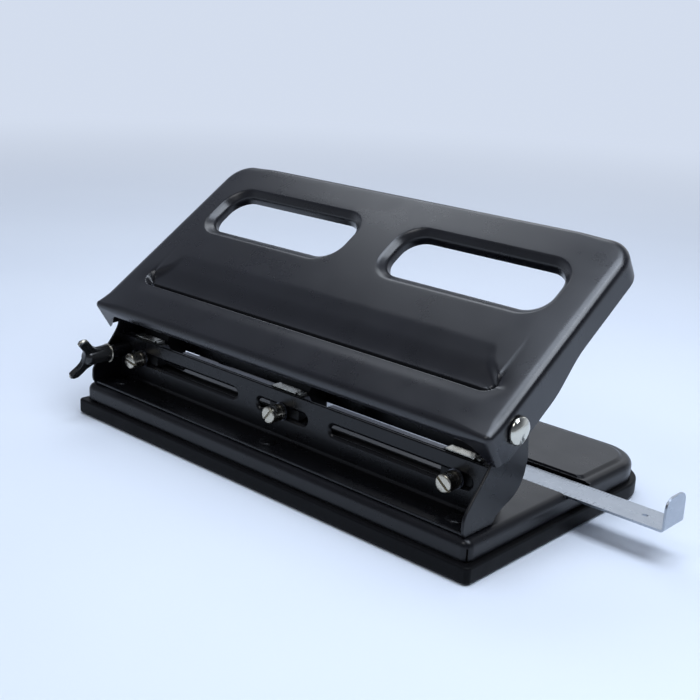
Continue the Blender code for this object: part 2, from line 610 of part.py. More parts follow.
for nm, hx in (("left", -HEAD_PITCH), ("middle", 0.0), ("right", HEAD_PITCH)):
    bm = bmesh.new()
    prism(bm, head_profile, yz, hx - HEAD_HALF_X, hx + HEAD_HALF_X)
    head = finish(bm, "head_block_" + nm, NICKEL, 0.3, 1.0, smooth=False)
    bm = bmesh.new()
    cyl(bm, (hx, PUNCH_Y, 10 * MM), (0, 0, 1), PUNCH_R + 0.2 * MM, PUNCH_R + 0.2 * MM, 60 * MM, 24)
    cut(head, cutter(bm, "bore_pin_" + nm))
    bm = bmesh.new()
    cyl(bm, (hx - 30 * MM, ROD_Y, ROD_LOW_Z), (1, 0, 0), ROD_R + 0.2 * MM, ROD_R + 0.2 * MM, 60 * MM, 24)
    cut(head, cutter(bm, "bore_rod_" + nm))
    bm = bmesh.new()
    g = 0.2 * MM
    box(bm, hx - 30 * MM, hx + 30 * MM, BAR_Y0 - g, BAR_Y1 + g, BAR_Z0 - g, BAR_Z1 + g)
    cut(head, cutter(bm, "channel_bar_" + nm))
    bm = bmesh.new()
    cyl(bm, (hx, FRONT_Y + 20 * MM, SLOT_Z), (0, 1, 0), 2.2 * MM, 2.2 * MM, 13 * MM, 20)
    cut(head, cutter(bm, "bore_screw_" + nm))

    bm = bmesh.new()
    lathe(bm, [(0, 0), (PUNCH_R - 0.1 * MM, 0), (PUNCH_R, 0.4 * MM), (PUNCH_R, PIN_Z1 - PIN_Z0 - 1.2 * MM),
               (PUNCH_R - 1.2 * MM, PIN_Z1 - PIN_Z0), (0, PIN_Z1 - PIN_Z0)],
          (hx, PUNCH_Y, PIN_Z0), (0, 0, 1), 28)
    pin = finish(bm, "punch_pin_" + nm, (0.50, 0.51, 0.53), 0.2, 1.0)
    set_origin(pin, (hx, PUNCH_Y, PIN_Z0))

    bm = bmesh.new()
    cyl(bm, (hx, PUNCH_Y, COLLAR_Z0), (0, 0, 1), 5.4 * MM, 5.4 * MM, 1.4 * MM, 28)
    collar = finish(bm, "pin_collar_" + nm, (0.45, 0.46, 0.48), 0.3, 1.0)
    bm = bmesh.new()
    cyl(bm, (hx, PUNCH_Y, COLLAR_Z0 - 3 * MM), (0, 0, 1), PUNCH_R + 0.02 * MM, PUNCH_R + 0.02 * MM, 8 * MM, 28)
    cut(collar, cutter(bm, "collar_bore_" + nm))

    spring("return_spring_" + nm, hx, HEAD_Z1 + 0.1 * MM, COLLAR_Z0 - 0.1 * MM, 3.5, 4.4 * MM, 0.45 * MM)

    bm = bmesh.new()
    cyl(bm, (hx, WALL_Y - 0.1 * MM, SLOT_Z), (0, -1, 0), 4.6 * MM, 4.6 * MM, 0.7 * MM, 28)
    wash = finish(bm, "clamp_washer_" + nm, (0.35, 0.35, 0.36), 0.35, 1.0)
    bm = bmesh.new()
    cyl(bm, (hx, WALL_Y + 3 * MM, SLOT_Z), (0, -1, 0), 2.2 * MM, 2.2 * MM, 10 * MM, 20)
    cut(wash, cutter(bm, "washer_hole_" + nm))

    # thumb screw: knurl-sized barrel head, screwdriver slot, short threaded shank
    y0 = WALL_Y - 0.9 * MM
    bm = bmesh.new()
    lathe(bm, [(0, -9.0 * MM), (2.0 * MM, -9.0 * MM), (2.0 * MM, 0), (3.7 * MM, 0), (4.3 * MM, 0.6 * MM),
               (4.3 * MM, 7.8 * MM), (3.8 * MM, 8.5 * MM), (0, 8.6 * MM)], (hx, y0, SLOT_Z), (0, -1, 0), 30)
    screw = finish(bm, "thumb_screw_" + nm, NICKEL, 0.22, 1.0)
    bm = bmesh.new()
    verts = box(bm, -6 * MM, 6 * MM, -1.6 * MM, 3 * MM, -0.6 * MM, 0.6 * MM)
    bmesh.ops.transform(bm, matrix=Matrix.Translation((hx, y0 - 8.6 * MM + 1.5 * MM - 3.0 * MM + 1.6 * MM, SLOT_Z))
                        @ Matrix.Rotation(math.radians(-40), 4, 'Y'), verts=verts)
    cut(screw, cutter(bm, "driver_slot_" + nm))
    set_origin(screw, (hx, y0, SLOT_Z))

# =====================================================================
# wing screw at the left end of the front wall
# =====================================================================
wing_half = []
for a, b in ((0, 3.2), (4.2, 3.4), (4.8, 6.0), (5.6, 9.5), (7.8, 13.2), (10.6, 15.4), (12.4, 17.4), (12.6, 20.0),
             (11.2, 21.6), (8.9, 21.4), (6.4, 18.8), (4.2, 16.8), (0, 16.0)):
    wing_half.append((a, b))
wing_outline = [(a * MM, b * MM) for a, b in wing_half[1:]]
wing_outline = wing_outline[:-1] + [(0.0, 16.0 * MM)] + [(-a, b) for a, b in reversed(wing_outline[:-1])]
collar_y = FRONT_Y + 10.0 * MM
bm = bmesh.new()
tilt = Matrix.Rotation(math.radians(24), 3, 'Y')


def wing_place(u, v, w):
    # u runs across the wings, v along the screw towards -Y, w is the thickness
    p = tilt @ Vector((w, 0, u))
    return Vector((WING_X + p.x, collar_y - v, WING_Z + p.z))


prism(bm, wing_outline, wing_place, -1.5 * MM, 1.5 * MM)
wing = finish(bm, "wing_screw", (0.03, 0.03, 0.032), 0.3, 0.0)
m = wing.modifiers.new("soft_edge", 'BEVEL')
m.width = 0.6 * MM
m.segments = 2
m.limit_method = 'ANGLE'
m.angle_limit = math.radians(40)
bm = bmesh.new()
lathe(bm, [(0, -15.2 * MM), (2.2 * MM, -15.2 * MM), (2.5 * MM, -14.8 * MM), (2.5 * MM, 0.0), (4.9 * MM, 0.0),
           (5.2 * MM, 0.5 * MM), (5.2 * MM, 1.8 * MM), (4.6 * MM, 2.4 * MM), (4.4 * MM, 12.0 * MM),
           (3.6 * MM, 15.2 * MM), (0, 15.6 * MM)], (WING_X, collar_y, WING_Z), (0, -1, 0), 30)
cut(wing, cutter(bm, "wing_hub"), 'UNION')
set_origin(wing, (WING_X, collar_y, WING_Z))
bm = bmesh.new()
cyl(bm, (WING_X, collar_y + 0.2 * MM, WING_Z), (0, 1, 0), 3.7 * MM, 3.7 * MM, 12.9 * MM, 28)
sleeve = finish(bm, "wing_sleeve", BLACK, 0.3, 0.0)
bm = bmesh.new()
cyl(bm, (WING_X, collar_y - 3 * MM, WING_Z), (0, 1, 0), 2.6 * MM, 2.6 * MM, 20 * MM, 24)
cut(sleeve, cutter(bm, "sleeve_bore"))

# =====================================================================
# sliding paper guide with upturned stop
# =====================================================================
bm = bmesh.new()
gt = GUIDE_T
bend_top = GUIDE_Z0 + 5.0 * MM
side_view = [(GUIDE_X0, GUIDE_Z0), (GUIDE_X1 - 2.2 * MM, GUIDE_Z0), (GUIDE_X1 - 1.0 * MM, GUIDE_Z0 + 0.3 * MM),
             (GUIDE_X1 - 0.3 * MM, GUIDE_Z0 + 1.0 * MM), (GUIDE_X1, GUIDE_Z0 + 2.2 * MM),
             (GUIDE_X1, bend_top), (GUIDE_X1 - gt, bend_top),
             (GUIDE_X1 - gt, GUIDE_Z0 + 2.2 * MM), (GUIDE_X1 - gt - 0.4 * MM, GUIDE_Z0 + gt + 0.4 * MM),
             (GUIDE_X1 - gt - 1.2 * MM, GUIDE_Z0 + gt), (GUIDE_X0, GUIDE_Z0 + gt)]
prism(bm, side_view, lambda u, v, w: Vector((u, w, v)), GUIDE_Y0, GUIDE_Y1)
guide = finish(bm, "paper_guide", STEEL, 0.25, 1.0)
bm = bmesh.new()
prism(bm, rounded(GUIDE_Y0, GUIDE_Y1, bend_top - 1.0 * MM, GUIDE_Z0 + TAB_H,
                  (0.01 * MM, 0.01 * MM, 5 * MM, 5 * MM), 6), yz, GUIDE_X1 - gt, GUIDE_X1)
cut(guide, cutter(bm, "guide_tab"), 'UNION')
bm = bmesh.new()
cyl(bm, (166.4 * MM, FRONT_Y + 87.2 * MM, GUIDE_Z0 - 3 * MM), (0, 0, 1), 1.3 * MM, 1.3 * MM, 9 * MM, 20)
cut(guide, cutter(bm, "guide_hole"))

# leaf spring below the channel floor; its crown rises through a window to the guide
bm = bmesh.new()
box(bm, -13 * MM, 13 * MM, FRONT_Y + 84 * MM, FRONT_Y + 90 * MM, CHANNEL_FLOOR_Z - 5 * MM, CHANNEL_FLOOR_Z + 4 * MM)
cut(shell, cutter(bm, "spring_window_cut"))
bm = bmesh.new()
leaf = [(-22, 14.0), (-11, 14.0), (-4, 15.4), (4, 15.4), (11, 14.0), (22, 14.0),
        (22, 14.4), (11.1, 14.4), (4.1, 15.8), (-4.1, 15.8), (-11.1, 14.4), (-22, 14.4)]
prism(bm, [(a * MM, b * MM) for a, b in leaf], lambda u, v, w: Vector((u, w, v)),
      FRONT_Y + 85 * MM, FRONT_Y + 89 * MM)
finish(bm, "guide_drag_spring", (0.5, 0.5, 0.52), 0.35, 1.0, smooth=False)

# the frame's origin lies under the middle of the whole object's outline
for ob in bpy.data.objects:
    ob.location += Vector((ORIGIN_X, ORIGIN_Y, 0.0))
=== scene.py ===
# Adjustable three-head lever paper punch. The base is long in X (left is -X), its front edge
# faces -Y and +Z is up. Pieces are drawn about the middle of the base, then moved by SHIFT
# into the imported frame.
import bpy
import bmesh
import math
from mathutils import Matrix, Vector, geometry


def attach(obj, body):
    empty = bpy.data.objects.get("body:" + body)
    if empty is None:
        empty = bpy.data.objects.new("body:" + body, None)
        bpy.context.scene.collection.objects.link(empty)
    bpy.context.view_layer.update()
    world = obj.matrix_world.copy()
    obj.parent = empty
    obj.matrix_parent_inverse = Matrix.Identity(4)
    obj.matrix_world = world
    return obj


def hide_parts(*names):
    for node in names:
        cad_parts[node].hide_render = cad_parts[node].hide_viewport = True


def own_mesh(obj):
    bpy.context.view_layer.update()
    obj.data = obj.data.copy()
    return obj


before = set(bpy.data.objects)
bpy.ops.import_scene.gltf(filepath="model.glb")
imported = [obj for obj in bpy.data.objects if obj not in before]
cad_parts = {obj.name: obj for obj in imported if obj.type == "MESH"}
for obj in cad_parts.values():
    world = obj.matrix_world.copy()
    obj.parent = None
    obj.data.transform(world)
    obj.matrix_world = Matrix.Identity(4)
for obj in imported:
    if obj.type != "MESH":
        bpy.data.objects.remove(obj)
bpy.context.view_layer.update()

# =====================================================================
# driving dimensions, in metres unless a comment says mm
# =====================================================================
MM = 0.001
SHIFT = Vector((-21.925 * MM, 5.775 * MM, 0.0))  # middle of the base, in the frame

TRAY_HALF_X, TRAY_HALF_Y = 135.0 * MM, 77.5 * MM
SHELL_INSET = 3.0 * MM                           # shell skirt inside the tray's edge
FRONT = -TRAY_HALF_Y


def behind(distance):
    # Y of a place so many mm behind the tray's front edge
    return FRONT + distance * MM


HEAD_PITCH = 108.0 * MM
HEADS = (("left", -HEAD_PITCH), ("middle", 0.0), ("right", HEAD_PITCH))
HINGE_Y, HINGE_Z = behind(29.5), 61.7 * MM
DECK_Z = 18.0 * MM                               # top of the base shell
CHANNEL_Z = 15.6 * MM                            # floor of the paper guide's channel
WALL_Y, WALL_TOP = behind(23.5), 43.8 * MM       # front face and top of the frame's wall
FRAME_Z, FRAME_SHEET = 18.15 * MM, 1.5 * MM      # underside and thickness of the frame
SCREW_Z = 33.5 * MM                              # thumb screws and the slots they slide in
WING_X, WING_Z = -121.4 * MM, 36.0 * MM


def ease(lo, hi, value):
    t = min(max((value - lo) / (hi - lo), 0.0), 1.0)
    return t * t * (3 - 2 * t)


def blend(a, b, t):
    return a + (b - a) * t


# =====================================================================
# procedural materials
# =====================================================================
class Tree:
    # node tree of a new material or world

    def __init__(self, owner):
        owner.use_nodes = True
        self.owner = owner
        self.nodes = owner.node_tree.nodes
        self.links = owner.node_tree.links
        self.bsdf = self.nodes.get("Principled BSDF")
        self.coord = self.node("ShaderNodeTexCoord").outputs

    def feed(self, socket, value):
        if isinstance(value, bpy.types.NodeSocket):
            self.links.new(value, socket)
        else:
            socket.default_value = value

    def put(self, node, **inputs):
        for name, value in inputs.items():
            self.feed(node.inputs[name.replace("_", " ")], value)

    def node(self, kind, *values, **inputs):
        # values fill the inputs in order, the rest go by name
        made = self.nodes.new(kind)
        for socket, value in zip(made.inputs, values):
            self.feed(socket, value)
        self.put(made, **inputs)
        return made

    def coords(self, scale=(1, 1, 1), rotation=(0, 0, 0)):
        return self.node("ShaderNodeMapping", Scale=scale, Rotation=rotation,
                         Vector=self.coord["Object"]).outputs["Vector"]

    def noise(self, scale, detail, rough, vector=None):
        return self.node("ShaderNodeTexNoise", Scale=scale, Detail=detail, Roughness=rough,
                         Vector=vector or self.coords()).outputs["Fac"]

    def voronoi(self, scale):
        return self.node("ShaderNodeTexVoronoi", Scale=scale,
                         Vector=self.coords()).outputs["Distance"]

    def remap(self, value, span=(0.3, 0.7), to=(0.0, 1.0), smooth=False):
        made = self.node("ShaderNodeMapRange", Value=value, From_Min=span[0], From_Max=span[1],
                         To_Min=to[0], To_Max=to[1])
        if smooth:
            made.interpolation_type = 'SMOOTHSTEP'
        return made.outputs["Result"]

    def mix(self, factor, a, b):
        made = self.node("ShaderNodeMix", factor)
        made.data_type = 'RGBA'
        for socket, colour in ((made.inputs[6], a), (made.inputs[7], b)):
            self.feed(socket, (*colour, 1.0) if isinstance(colour, tuple) else colour)
        return made.outputs[2]

    def mix_float(self, factor, a, b):
        made = self.node("ShaderNodeMix", factor)
        made.data_type = 'FLOAT'
        self.feed(made.inputs[2], a)
        self.feed(made.inputs[3], b)
        return made.outputs[0]

    def math(self, operation, *values):
        made = self.node("ShaderNodeMath", *values)
        made.operation = operation
        return made.outputs[0]

    def vector_math(self, operation, *values):
        made = self.node("ShaderNodeVectorMath", *values)
        made.operation = operation
        return made.outputs["Value"]

    def bevel(self, radius, samples):
        made = self.node("ShaderNodeBevel", Radius=radius)
        made.samples = samples
        return made.outputs["Normal"]

    def edge_mask(self, radius):
        # 0 on flats, rising where the surface turns sharply
        flat = self.node("ShaderNodeNewGeometry").outputs["Normal"]
        dot = self.vector_math('DOT_PRODUCT', self.bevel(radius, samples=4), flat)
        return self.remap(dot, span=(0.995, 0.80))

    def clouded(self, base, scale, dark, light):
        # the base colour drifting between a darker and a lighter shade
        cloud = self.noise(scale=scale, detail=4.0, rough=0.55)
        return self.mix(self.remap(cloud), tuple(c * dark for c in base),
                        tuple(c * light for c in base))

    def bump(self, layers, bevel):
        # layers of (height, depth in mm), the first nearest the surface
        below = {"Normal": self.bevel(bevel, samples=5)} if bevel > 0 else {}
        for height, depth in layers:
            made = self.node("ShaderNodeBump", Strength=1.0, Distance=depth * MM,
                             Height=height, **below)
            below = {"Normal": made.outputs["Normal"]}
        self.put(self.bsdf, **below)


def enamel(name, base, rough, specular, wear, bevel=0.3 * MM):
    # stove enamel on pressed steel: orange peel, faint dust and rubbed edges
    t = Tree(bpy.data.materials.new(name))
    specks = t.remap(t.noise(scale=2600.0, detail=2.0, rough=0.6), span=(0.70, 0.78))
    patch = t.remap(t.noise(scale=210.0, detail=4.0, rough=0.6), span=(0.50, 0.72))
    worn = t.math('MULTIPLY', t.math('MULTIPLY', t.edge_mask(0.5 * MM), patch), wear)
    colour = t.clouded(base, scale=28.0, dark=0.8, light=1.25)
    colour = t.mix(worn, colour, (0.16, 0.165, 0.175))
    colour = t.mix(t.math('MULTIPLY', specks, 0.012), colour, (0.20, 0.20, 0.21))
    sheen = t.remap(t.noise(scale=60.0, detail=5.0, rough=0.6), to=(rough - 0.035, rough + 0.04))
    t.put(t.bsdf, Base_Color=colour, Specular_IOR_Level=specular,
          Roughness=t.math('ADD', sheen, t.math('MULTIPLY', specks, 0.02)))
    t.bump([(t.noise(scale=360.0, detail=2.0, rough=0.45), 0.0050),
            (t.noise(scale=900.0, detail=1.0, rough=0.4), 0.0010)], bevel)
    return t.owner


def moulded(name, base, rough, specular=0.32, grain=0.012, bevel=0.4 * MM):
    # moulded plastic: fine grain (depth in mm), a few scuffs, slightly uneven sheen
    t = Tree(bpy.data.materials.new(name))
    scuff = t.noise(scale=300.0, detail=6.0, rough=0.7,
                    vector=t.coords(scale=(1.0, 0.25, 1.0), rotation=(0, 0, 0.7)))
    colour = t.mix(t.remap(scuff, span=(0.66, 0.8), to=(0.0, 0.04)),
                   t.clouded(base, scale=35.0, dark=0.85, light=1.2), (0.13, 0.13, 0.135))
    sheen = t.remap(t.noise(scale=80.0, detail=4.0, rough=0.6), to=(rough - 0.05, rough + 0.06))
    t.put(t.bsdf, Base_Color=colour, Roughness=sheen, Specular_IOR_Level=specular)
    t.bump([(t.voronoi(scale=2200.0), grain),
            (t.noise(scale=900.0, detail=3.0, rough=0.6), 0.004)], bevel)
    return t.owner


def plated(name, base, rough, streak=(1.0, 1.0, 1.0), stain=(0.45, 0.42, 0.36), dirt=0.35,
           depth=0.0015, bevel=0.25 * MM, painted_beyond=None):
    # plated metal: polishing lines (depth in mm), cloudy roughness and a little tarnish;
    # further than painted_beyond to either side of the base's middle it is painted over
    t = Tree(bpy.data.materials.new(name))
    cloud = t.noise(scale=160.0, detail=5.0, rough=0.6)
    lines = t.noise(scale=1500.0, detail=4.0, rough=0.65, vector=t.coords(scale=streak))
    colour = t.mix(t.remap(cloud, span=(0.45, 0.75), to=(0.0, dirt)), base, stain)
    metallic = 1.0
    if painted_beyond is not None:
        place = t.node("ShaderNodeNewGeometry").outputs["Position"]
        x = t.node("ShaderNodeSeparateXYZ", place).outputs[0]
        off_middle = t.math('ABSOLUTE', t.math('SUBTRACT', x, SHIFT.x))
        painted = t.math('GREATER_THAN', off_middle, painted_beyond)
        colour = t.mix(painted, colour, (0.009, 0.009, 0.010))
        metallic = t.mix_float(painted, metallic, 0.0)
    sheen = t.remap(t.noise(scale=240.0, detail=5.0, rough=0.6), to=(rough - 0.04, rough + 0.06))
    sheen = t.math('ADD', sheen, t.remap(lines, span=(0.35, 0.65), to=(-0.03, 0.03)))
    t.put(t.bsdf, Base_Color=colour, Roughness=sheen, Metallic=metallic)
    t.bump([(lines, depth), (t.noise(scale=90.0, detail=3.0, rough=0.5), 0.004)], bevel)
    return t.owner


HANDLE_ENAMEL = enamel("handle_enamel", base=(0.0045, 0.0045, 0.0066), rough=0.29,
                       specular=0.60, wear=0.0, bevel=0.0)
FRAME_ENAMEL = enamel("frame_enamel", base=(0.0042, 0.0042, 0.0052), rough=0.28,
                      specular=0.31, wear=0.22)
SHELL_ENAMEL = enamel("shell_enamel", base=(0.0042, 0.0042, 0.0056), rough=0.29,
                      specular=0.30, wear=0.12)
TRAY_PLASTIC = moulded("tray_plastic", base=(0.0042, 0.0042, 0.0048), rough=0.42, specular=0.08)
DOOR_PLASTIC = moulded("door_plastic", base=(0.016, 0.016, 0.017), rough=0.5, specular=0.2,
                       grain=0.03)
RUBBER = moulded("foot_rubber", base=(0.02, 0.02, 0.02), rough=0.85, grain=0.05, bevel=0.3 * MM)
NICKEL = plated("nickel_plate", base=(0.46, 0.45, 0.40), rough=0.24)
NICKEL_DOME = plated("nickel_dome", base=(0.62, 0.60, 0.52), rough=0.11, depth=0.0006, dirt=0.18)
SCREW_NICKEL = plated("screw_nickel", base=(0.50, 0.465, 0.385), rough=0.26,
                      streak=(1.0, 6.0, 1.0))
HEAD_NICKEL = plated("head_nickel", base=(0.66, 0.64, 0.57), rough=0.28, streak=(0.2, 2.0, 2.0))
GUIDE_ZINC = plated("guide_zinc", base=(0.40, 0.435, 0.48), rough=0.30, streak=(0.08, 2.0, 1.0),
                    stain=(0.52, 0.55, 0.60), dirt=0.3, depth=0.0012, bevel=0.2 * MM)
BAR_STEEL = plated("bar_steel", base=(0.115, 0.12, 0.14), rough=0.30, streak=(0.06, 2.0, 2.0),
                   stain=(0.22, 0.23, 0.26), bevel=0.3 * MM, painted_beyond=0.1225)
GROUND_STEEL = plated("ground_steel", base=(0.50, 0.51, 0.53), rough=0.20,
                      streak=(1.0, 1.0, 0.1))
SPRING_WIRE = plated("spring_wire", base=(0.52, 0.53, 0.56), rough=0.25, bevel=0.0)
NYLON = moulded("nylon_washer", base=(0.42, 0.42, 0.40), rough=0.5, grain=0.004)
WING_ENAMEL = enamel("wing_enamel", base=(0.012, 0.012, 0.012), rough=0.25, specular=0.5,
                     wear=0.5)
# painted shade: the punch heads and the lower rod are kept near black for the shade inside the
# frame behind the wall
INTERIOR_SHADE_ENAMEL = enamel("interior_shade_enamel", base=(0.0045, 0.0045, 0.005), rough=0.42, specular=0.25,
                      wear=0.15)
SCALE_INK = moulded("scale_ink", base=(0.10, 0.11, 0.13), rough=0.55, grain=0.002, bevel=0.0)


# =====================================================================
# objects from meshes
# =====================================================================
def sharpen(mesh, angle):
    for polygon in mesh.polygons:
        polygon.use_smooth = True
    mesh.set_sharp_from_angle(angle=math.radians(angle))


def shape(build, *args):
    bm = bmesh.new()
    build(bm, *args)
    return bm


def mesh_object(bm, name):
    bmesh.ops.recalc_face_normals(bm, faces=bm.faces)
    mesh = bpy.data.meshes.new(name)
    bm.to_mesh(mesh)
    bm.free()
    mesh.transform(Matrix.Translation(SHIFT))
    ob = bpy.data.objects.new(name, mesh)
    bpy.context.scene.collection.objects.link(ob)
    return ob


def piece(bm, name, material, body, replaces=None, angle=35.0):
    ob = mesh_object(bm, name)
    sharpen(ob.data, angle)
    ob.data.materials.append(material)
    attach(ob, body)
    if replaces:
        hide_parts(replaces)
    return ob


def tool(build, *args):
    # a solid for settle to add or cut away
    return mesh_object(shape(build, *args), "tool")


def settle(ob, angle, add=(), cut=()):
    # boolean work and modifiers become plain mesh, and the tools go away
    steps = [('UNION', t) for t in add] + [('DIFFERENCE', t) for t in cut]
    for operation, solid in steps:
        boolean = ob.modifiers.new("b", 'BOOLEAN')
        boolean.operation = operation
        boolean.solver = 'EXACT'
        boolean.object = solid
    depsgraph = bpy.context.evaluated_depsgraph_get()
    mesh = bpy.data.meshes.new_from_object(ob.evaluated_get(depsgraph))
    material = ob.data.materials[0]
    ob.modifiers.clear()
    ob.data = mesh
    mesh.name = ob.name
    mesh.materials.clear()
    mesh.materials.append(material)
    for polygon in mesh.polygons:
        polygon.material_index = 0
    for _, solid in steps:
        bpy.data.objects.remove(solid, do_unlink=True)
    sharpen(mesh, angle)


def soften(ob, weight=50):
    modifier = ob.modifiers.new("soft", 'WEIGHTED_NORMAL')
    modifier.keep_sharp = True
    modifier.weight = weight


# =====================================================================
# solids
# =====================================================================
def box(bm, x0, x1, y0, y1, z0, z1, place=Matrix()):
    verts = bmesh.ops.create_cube(bm, size=1.0)["verts"]
    centre = Vector(((x0 + x1) / 2, (y0 + y1) / 2, (z0 + z1) / 2))
    size = Vector((x1 - x0, y1 - y0, z1 - z0))
    for v in verts:
        v.co = Vector((v.co.x * size.x, v.co.y * size.y, v.co.z * size.z)) + centre
    bmesh.ops.transform(bm, verts=verts, matrix=place)


def cylinder(bm, start, axis, radius, length):
    axis = Vector(axis).normalized()
    turn = Vector((0, 0, 1)).rotation_difference(axis).to_matrix().to_4x4()
    middle = Vector(start) + axis * (length / 2)
    bmesh.ops.create_cone(bm, cap_ends=True, cap_tris=False, segments=48, radius1=radius,
                          radius2=radius, depth=length,
                          matrix=Matrix.Translation(middle) @ turn)


def lathe(bm, profile, centre, axis, segments):
    # profile of (radius, height along the axis) in mm
    turn = Vector((0, 0, 1)).rotation_difference(Vector(axis).normalized()).to_matrix()
    rings = []
    for radius, height in profile:
        r, h = radius * MM, height * MM
        if r <= 1e-9:
            rings.append([bm.verts.new(Vector(centre) + turn @ Vector((0, 0, h)))])
            continue
        angles = [2 * math.pi * i / segments for i in range(segments)]
        rings.append([bm.verts.new(Vector(centre) + turn @ Vector((
            r * math.cos(a), r * math.sin(a), h))) for a in angles])
    for p, q in zip(rings, rings[1:]):
        for i in range(segments):
            j = (i + 1) % segments
            if len(p) == 1:
                bm.faces.new((p[0], q[i], q[j]))
            elif len(q) == 1:
                bm.faces.new((p[i], p[j], q[0]))
            else:
                bm.faces.new((p[i], p[j], q[j], q[i]))


def along_x(u, v, w):
    return Vector((w, u, v))


def along_y(u, v, w):
    return Vector((u, w, v))


def along_z(u, v, w):
    return Vector((u, v, w))


def prism(bm, outline, along, lo, hi):
    a = [bm.verts.new(along(u, v, lo)) for u, v in outline]
    b = [bm.verts.new(along(u, v, hi)) for u, v in outline]
    bm.faces.new(a)
    bm.faces.new(list(reversed(b)))
    for i in range(len(outline)):
        j = (i + 1) % len(outline)
        bm.faces.new((a[i], b[i], b[j], a[j]))


def quads(bm, rings):
    for p, q in zip(rings, rings[1:]):
        for i in range(len(p)):
            j = (i + 1) % len(p)
            bm.faces.new((p[i], p[j], q[j], q[i]))


def rings_through(bm, loops):
    rings = [[bm.verts.new(point) for point in loop] for loop in loops]
    quads(bm, rings)
    return rings


def loft(bm, loops):
    rings = rings_through(bm, loops)
    bm.faces.new(rings[0])
    bm.faces.new(list(reversed(rings[-1])))


# =====================================================================
# outlines
# =====================================================================
def rounded(x0, x1, y0, y1, radii, segments=10):
    # rectangle with its own radius at each corner, counter-clockwise from (x0, y0)
    out = []
    for cx, cy, start, r in ((x0, y0, 180, radii[0]), (x1, y0, 270, radii[1]),
                             (x1, y1, 0, radii[2]), (x0, y1, 90, radii[3])):
        ox = cx + (r if cx == x0 else -r)
        oy = cy + (r if cy == y0 else -r)
        for k in range(segments + 1):
            a = math.radians(start + 90.0 * k / segments)
            out.append((ox + r * math.cos(a), oy + r * math.sin(a)))
    return out


def rounded_distance(x, y, cx, cy, half_x, half_y, r):
    # signed distance to a rounded rectangle, negative inside
    qx, qy = abs(x - cx) - half_x + r, abs(y - cy) - half_y + r
    return math.hypot(max(qx, 0), max(qy, 0)) + min(max(qx, qy), 0) - r


def bend(cx, cz, radius, angles):
    # arc of a folded sheet's section, in degrees from straight down
    return [(cx + radius * math.sin(math.radians(a)), cz - radius * math.cos(math.radians(a)))
            for a in angles]


def subdivided(points, step):
    out = []
    for p, q in zip(points, points[1:] + points[:1]):
        out.append(p)
        count = int(math.hypot(q[0] - p[0], q[1] - p[1]) / step)
        for j in range(1, count):
            out.append(tuple(blend(a, b, j / count) for a, b in zip(p, q)))
    return out


def spline(points, steps):
    # Catmull-Rom through the points, left open between the last and the first
    out = []
    last = len(points) - 1
    for i in range(last):
        p0, p1, p2, p3 = (points[min(max(k, 0), last)] for k in range(i - 1, i + 3))
        for j in range(steps):
            t = j / steps
            out.append(tuple(
                0.5 * (2 * b + (-a + c) * t + (2 * a - 5 * b + 4 * c - d) * t * t
                       + (-a + 3 * b - 3 * c + d) * t ** 3)
                for a, b, c, d in zip(p0, p1, p2, p3)))
    out.append(points[-1])
    return out


def outline_normals(points):
    # outward for a counter-clockwise outline
    out = []
    for i in range(len(points)):
        ax, ay = points[i - 1]
        bx, by = points[(i + 1) % len(points)]
        dx, dy = bx - ax, by - ay
        length = math.hypot(dx, dy)
        out.append((dy / length, -dx / length))
    return out


def inset_loops(outline, layers, place):
    # loops of place(u, v, w), drawn in by each layer's inset; layers are (w, inset)
    normals = outline_normals(outline)
    area = sum(a[0] * b[1] - b[0] * a[1] for a, b in zip(outline[-1:] + outline, outline))
    out = 1 if area > 0 else -1
    return [[place(u - out * nu * inset, v - out * nv * inset, w)
             for (u, v), (nu, nv) in zip(outline, normals)] for w, inset in layers]


def inside(point, polygon):
    hit = False
    for i in range(len(polygon)):
        (ax, ay), (bx, by) = polygon[i - 1], polygon[i]
        if ((ay > point[1]) != (by > point[1])
                and point[0] < (bx - ax) * (point[1] - ay) / (by - ay) + ax):
            hit = not hit
    return hit


def fill_cap(bm, loops, extra=()):
    # triangles inside the first of the loops and outside the others, by way of the extra
    # points; loops are (vertices, outline), extra is (vertex, point)
    verts, points, edges = [], [], []
    for ring, outline in loops:
        start, count = len(points), len(outline)
        edges += [(start + i, start + (i + 1) % count) for i in range(count)]
        verts += ring
        points += outline
    verts += [v for v, _ in extra]
    points += [p for _, p in extra]
    result = geometry.delaunay_2d_cdt([Vector(p) for p in points], edges, [], 0, 1e-9)
    faces, origins = result[2], result[3]
    outer, holes = loops[0][1], [outline for _, outline in loops[1:]]
    for face in faces:
        ids = [origins[k][0] for k in face]
        if len(set(ids)) < 3:
            continue
        centre = (sum(points[k][0] for k in ids) / 3, sum(points[k][1] for k in ids) / 3)
        if inside(centre, outer) and not any(inside(centre, hole) for hole in holes):
            bm.faces.new([verts[k] for k in ids])


# =====================================================================
# handle: one drawn sheet with two turned-in hand openings and a stiffening groove.
# In mm on the sloping panel: x across, s up the slope from the front edge, n off the sheet.
# =====================================================================
SLOPE = math.radians(33.4)
COS_SLOPE, SIN_SLOPE = math.cos(SLOPE), math.sin(SLOPE)
PANEL_Y, PANEL_Z = behind(8.73), 62.09 * MM      # front edge of the panel
PANEL_HALF, PANEL_LENGTH = 132.7, 126.4
HANDLE_SHEET = 1.1
BEND_STEPS = 10
FLANGE_SHARES = (1.0, 0.985, 0.8, 0.55, 0.3, 0.1)   # rows of the flange, from its free edge up

WINDOW_X, WINDOW_S = 63.8, 87.0                  # centre of the right-hand opening
WINDOW_HALF_X, WINDOW_HALF_S, WINDOW_RADIUS = 52.0, 19.8, 15.5
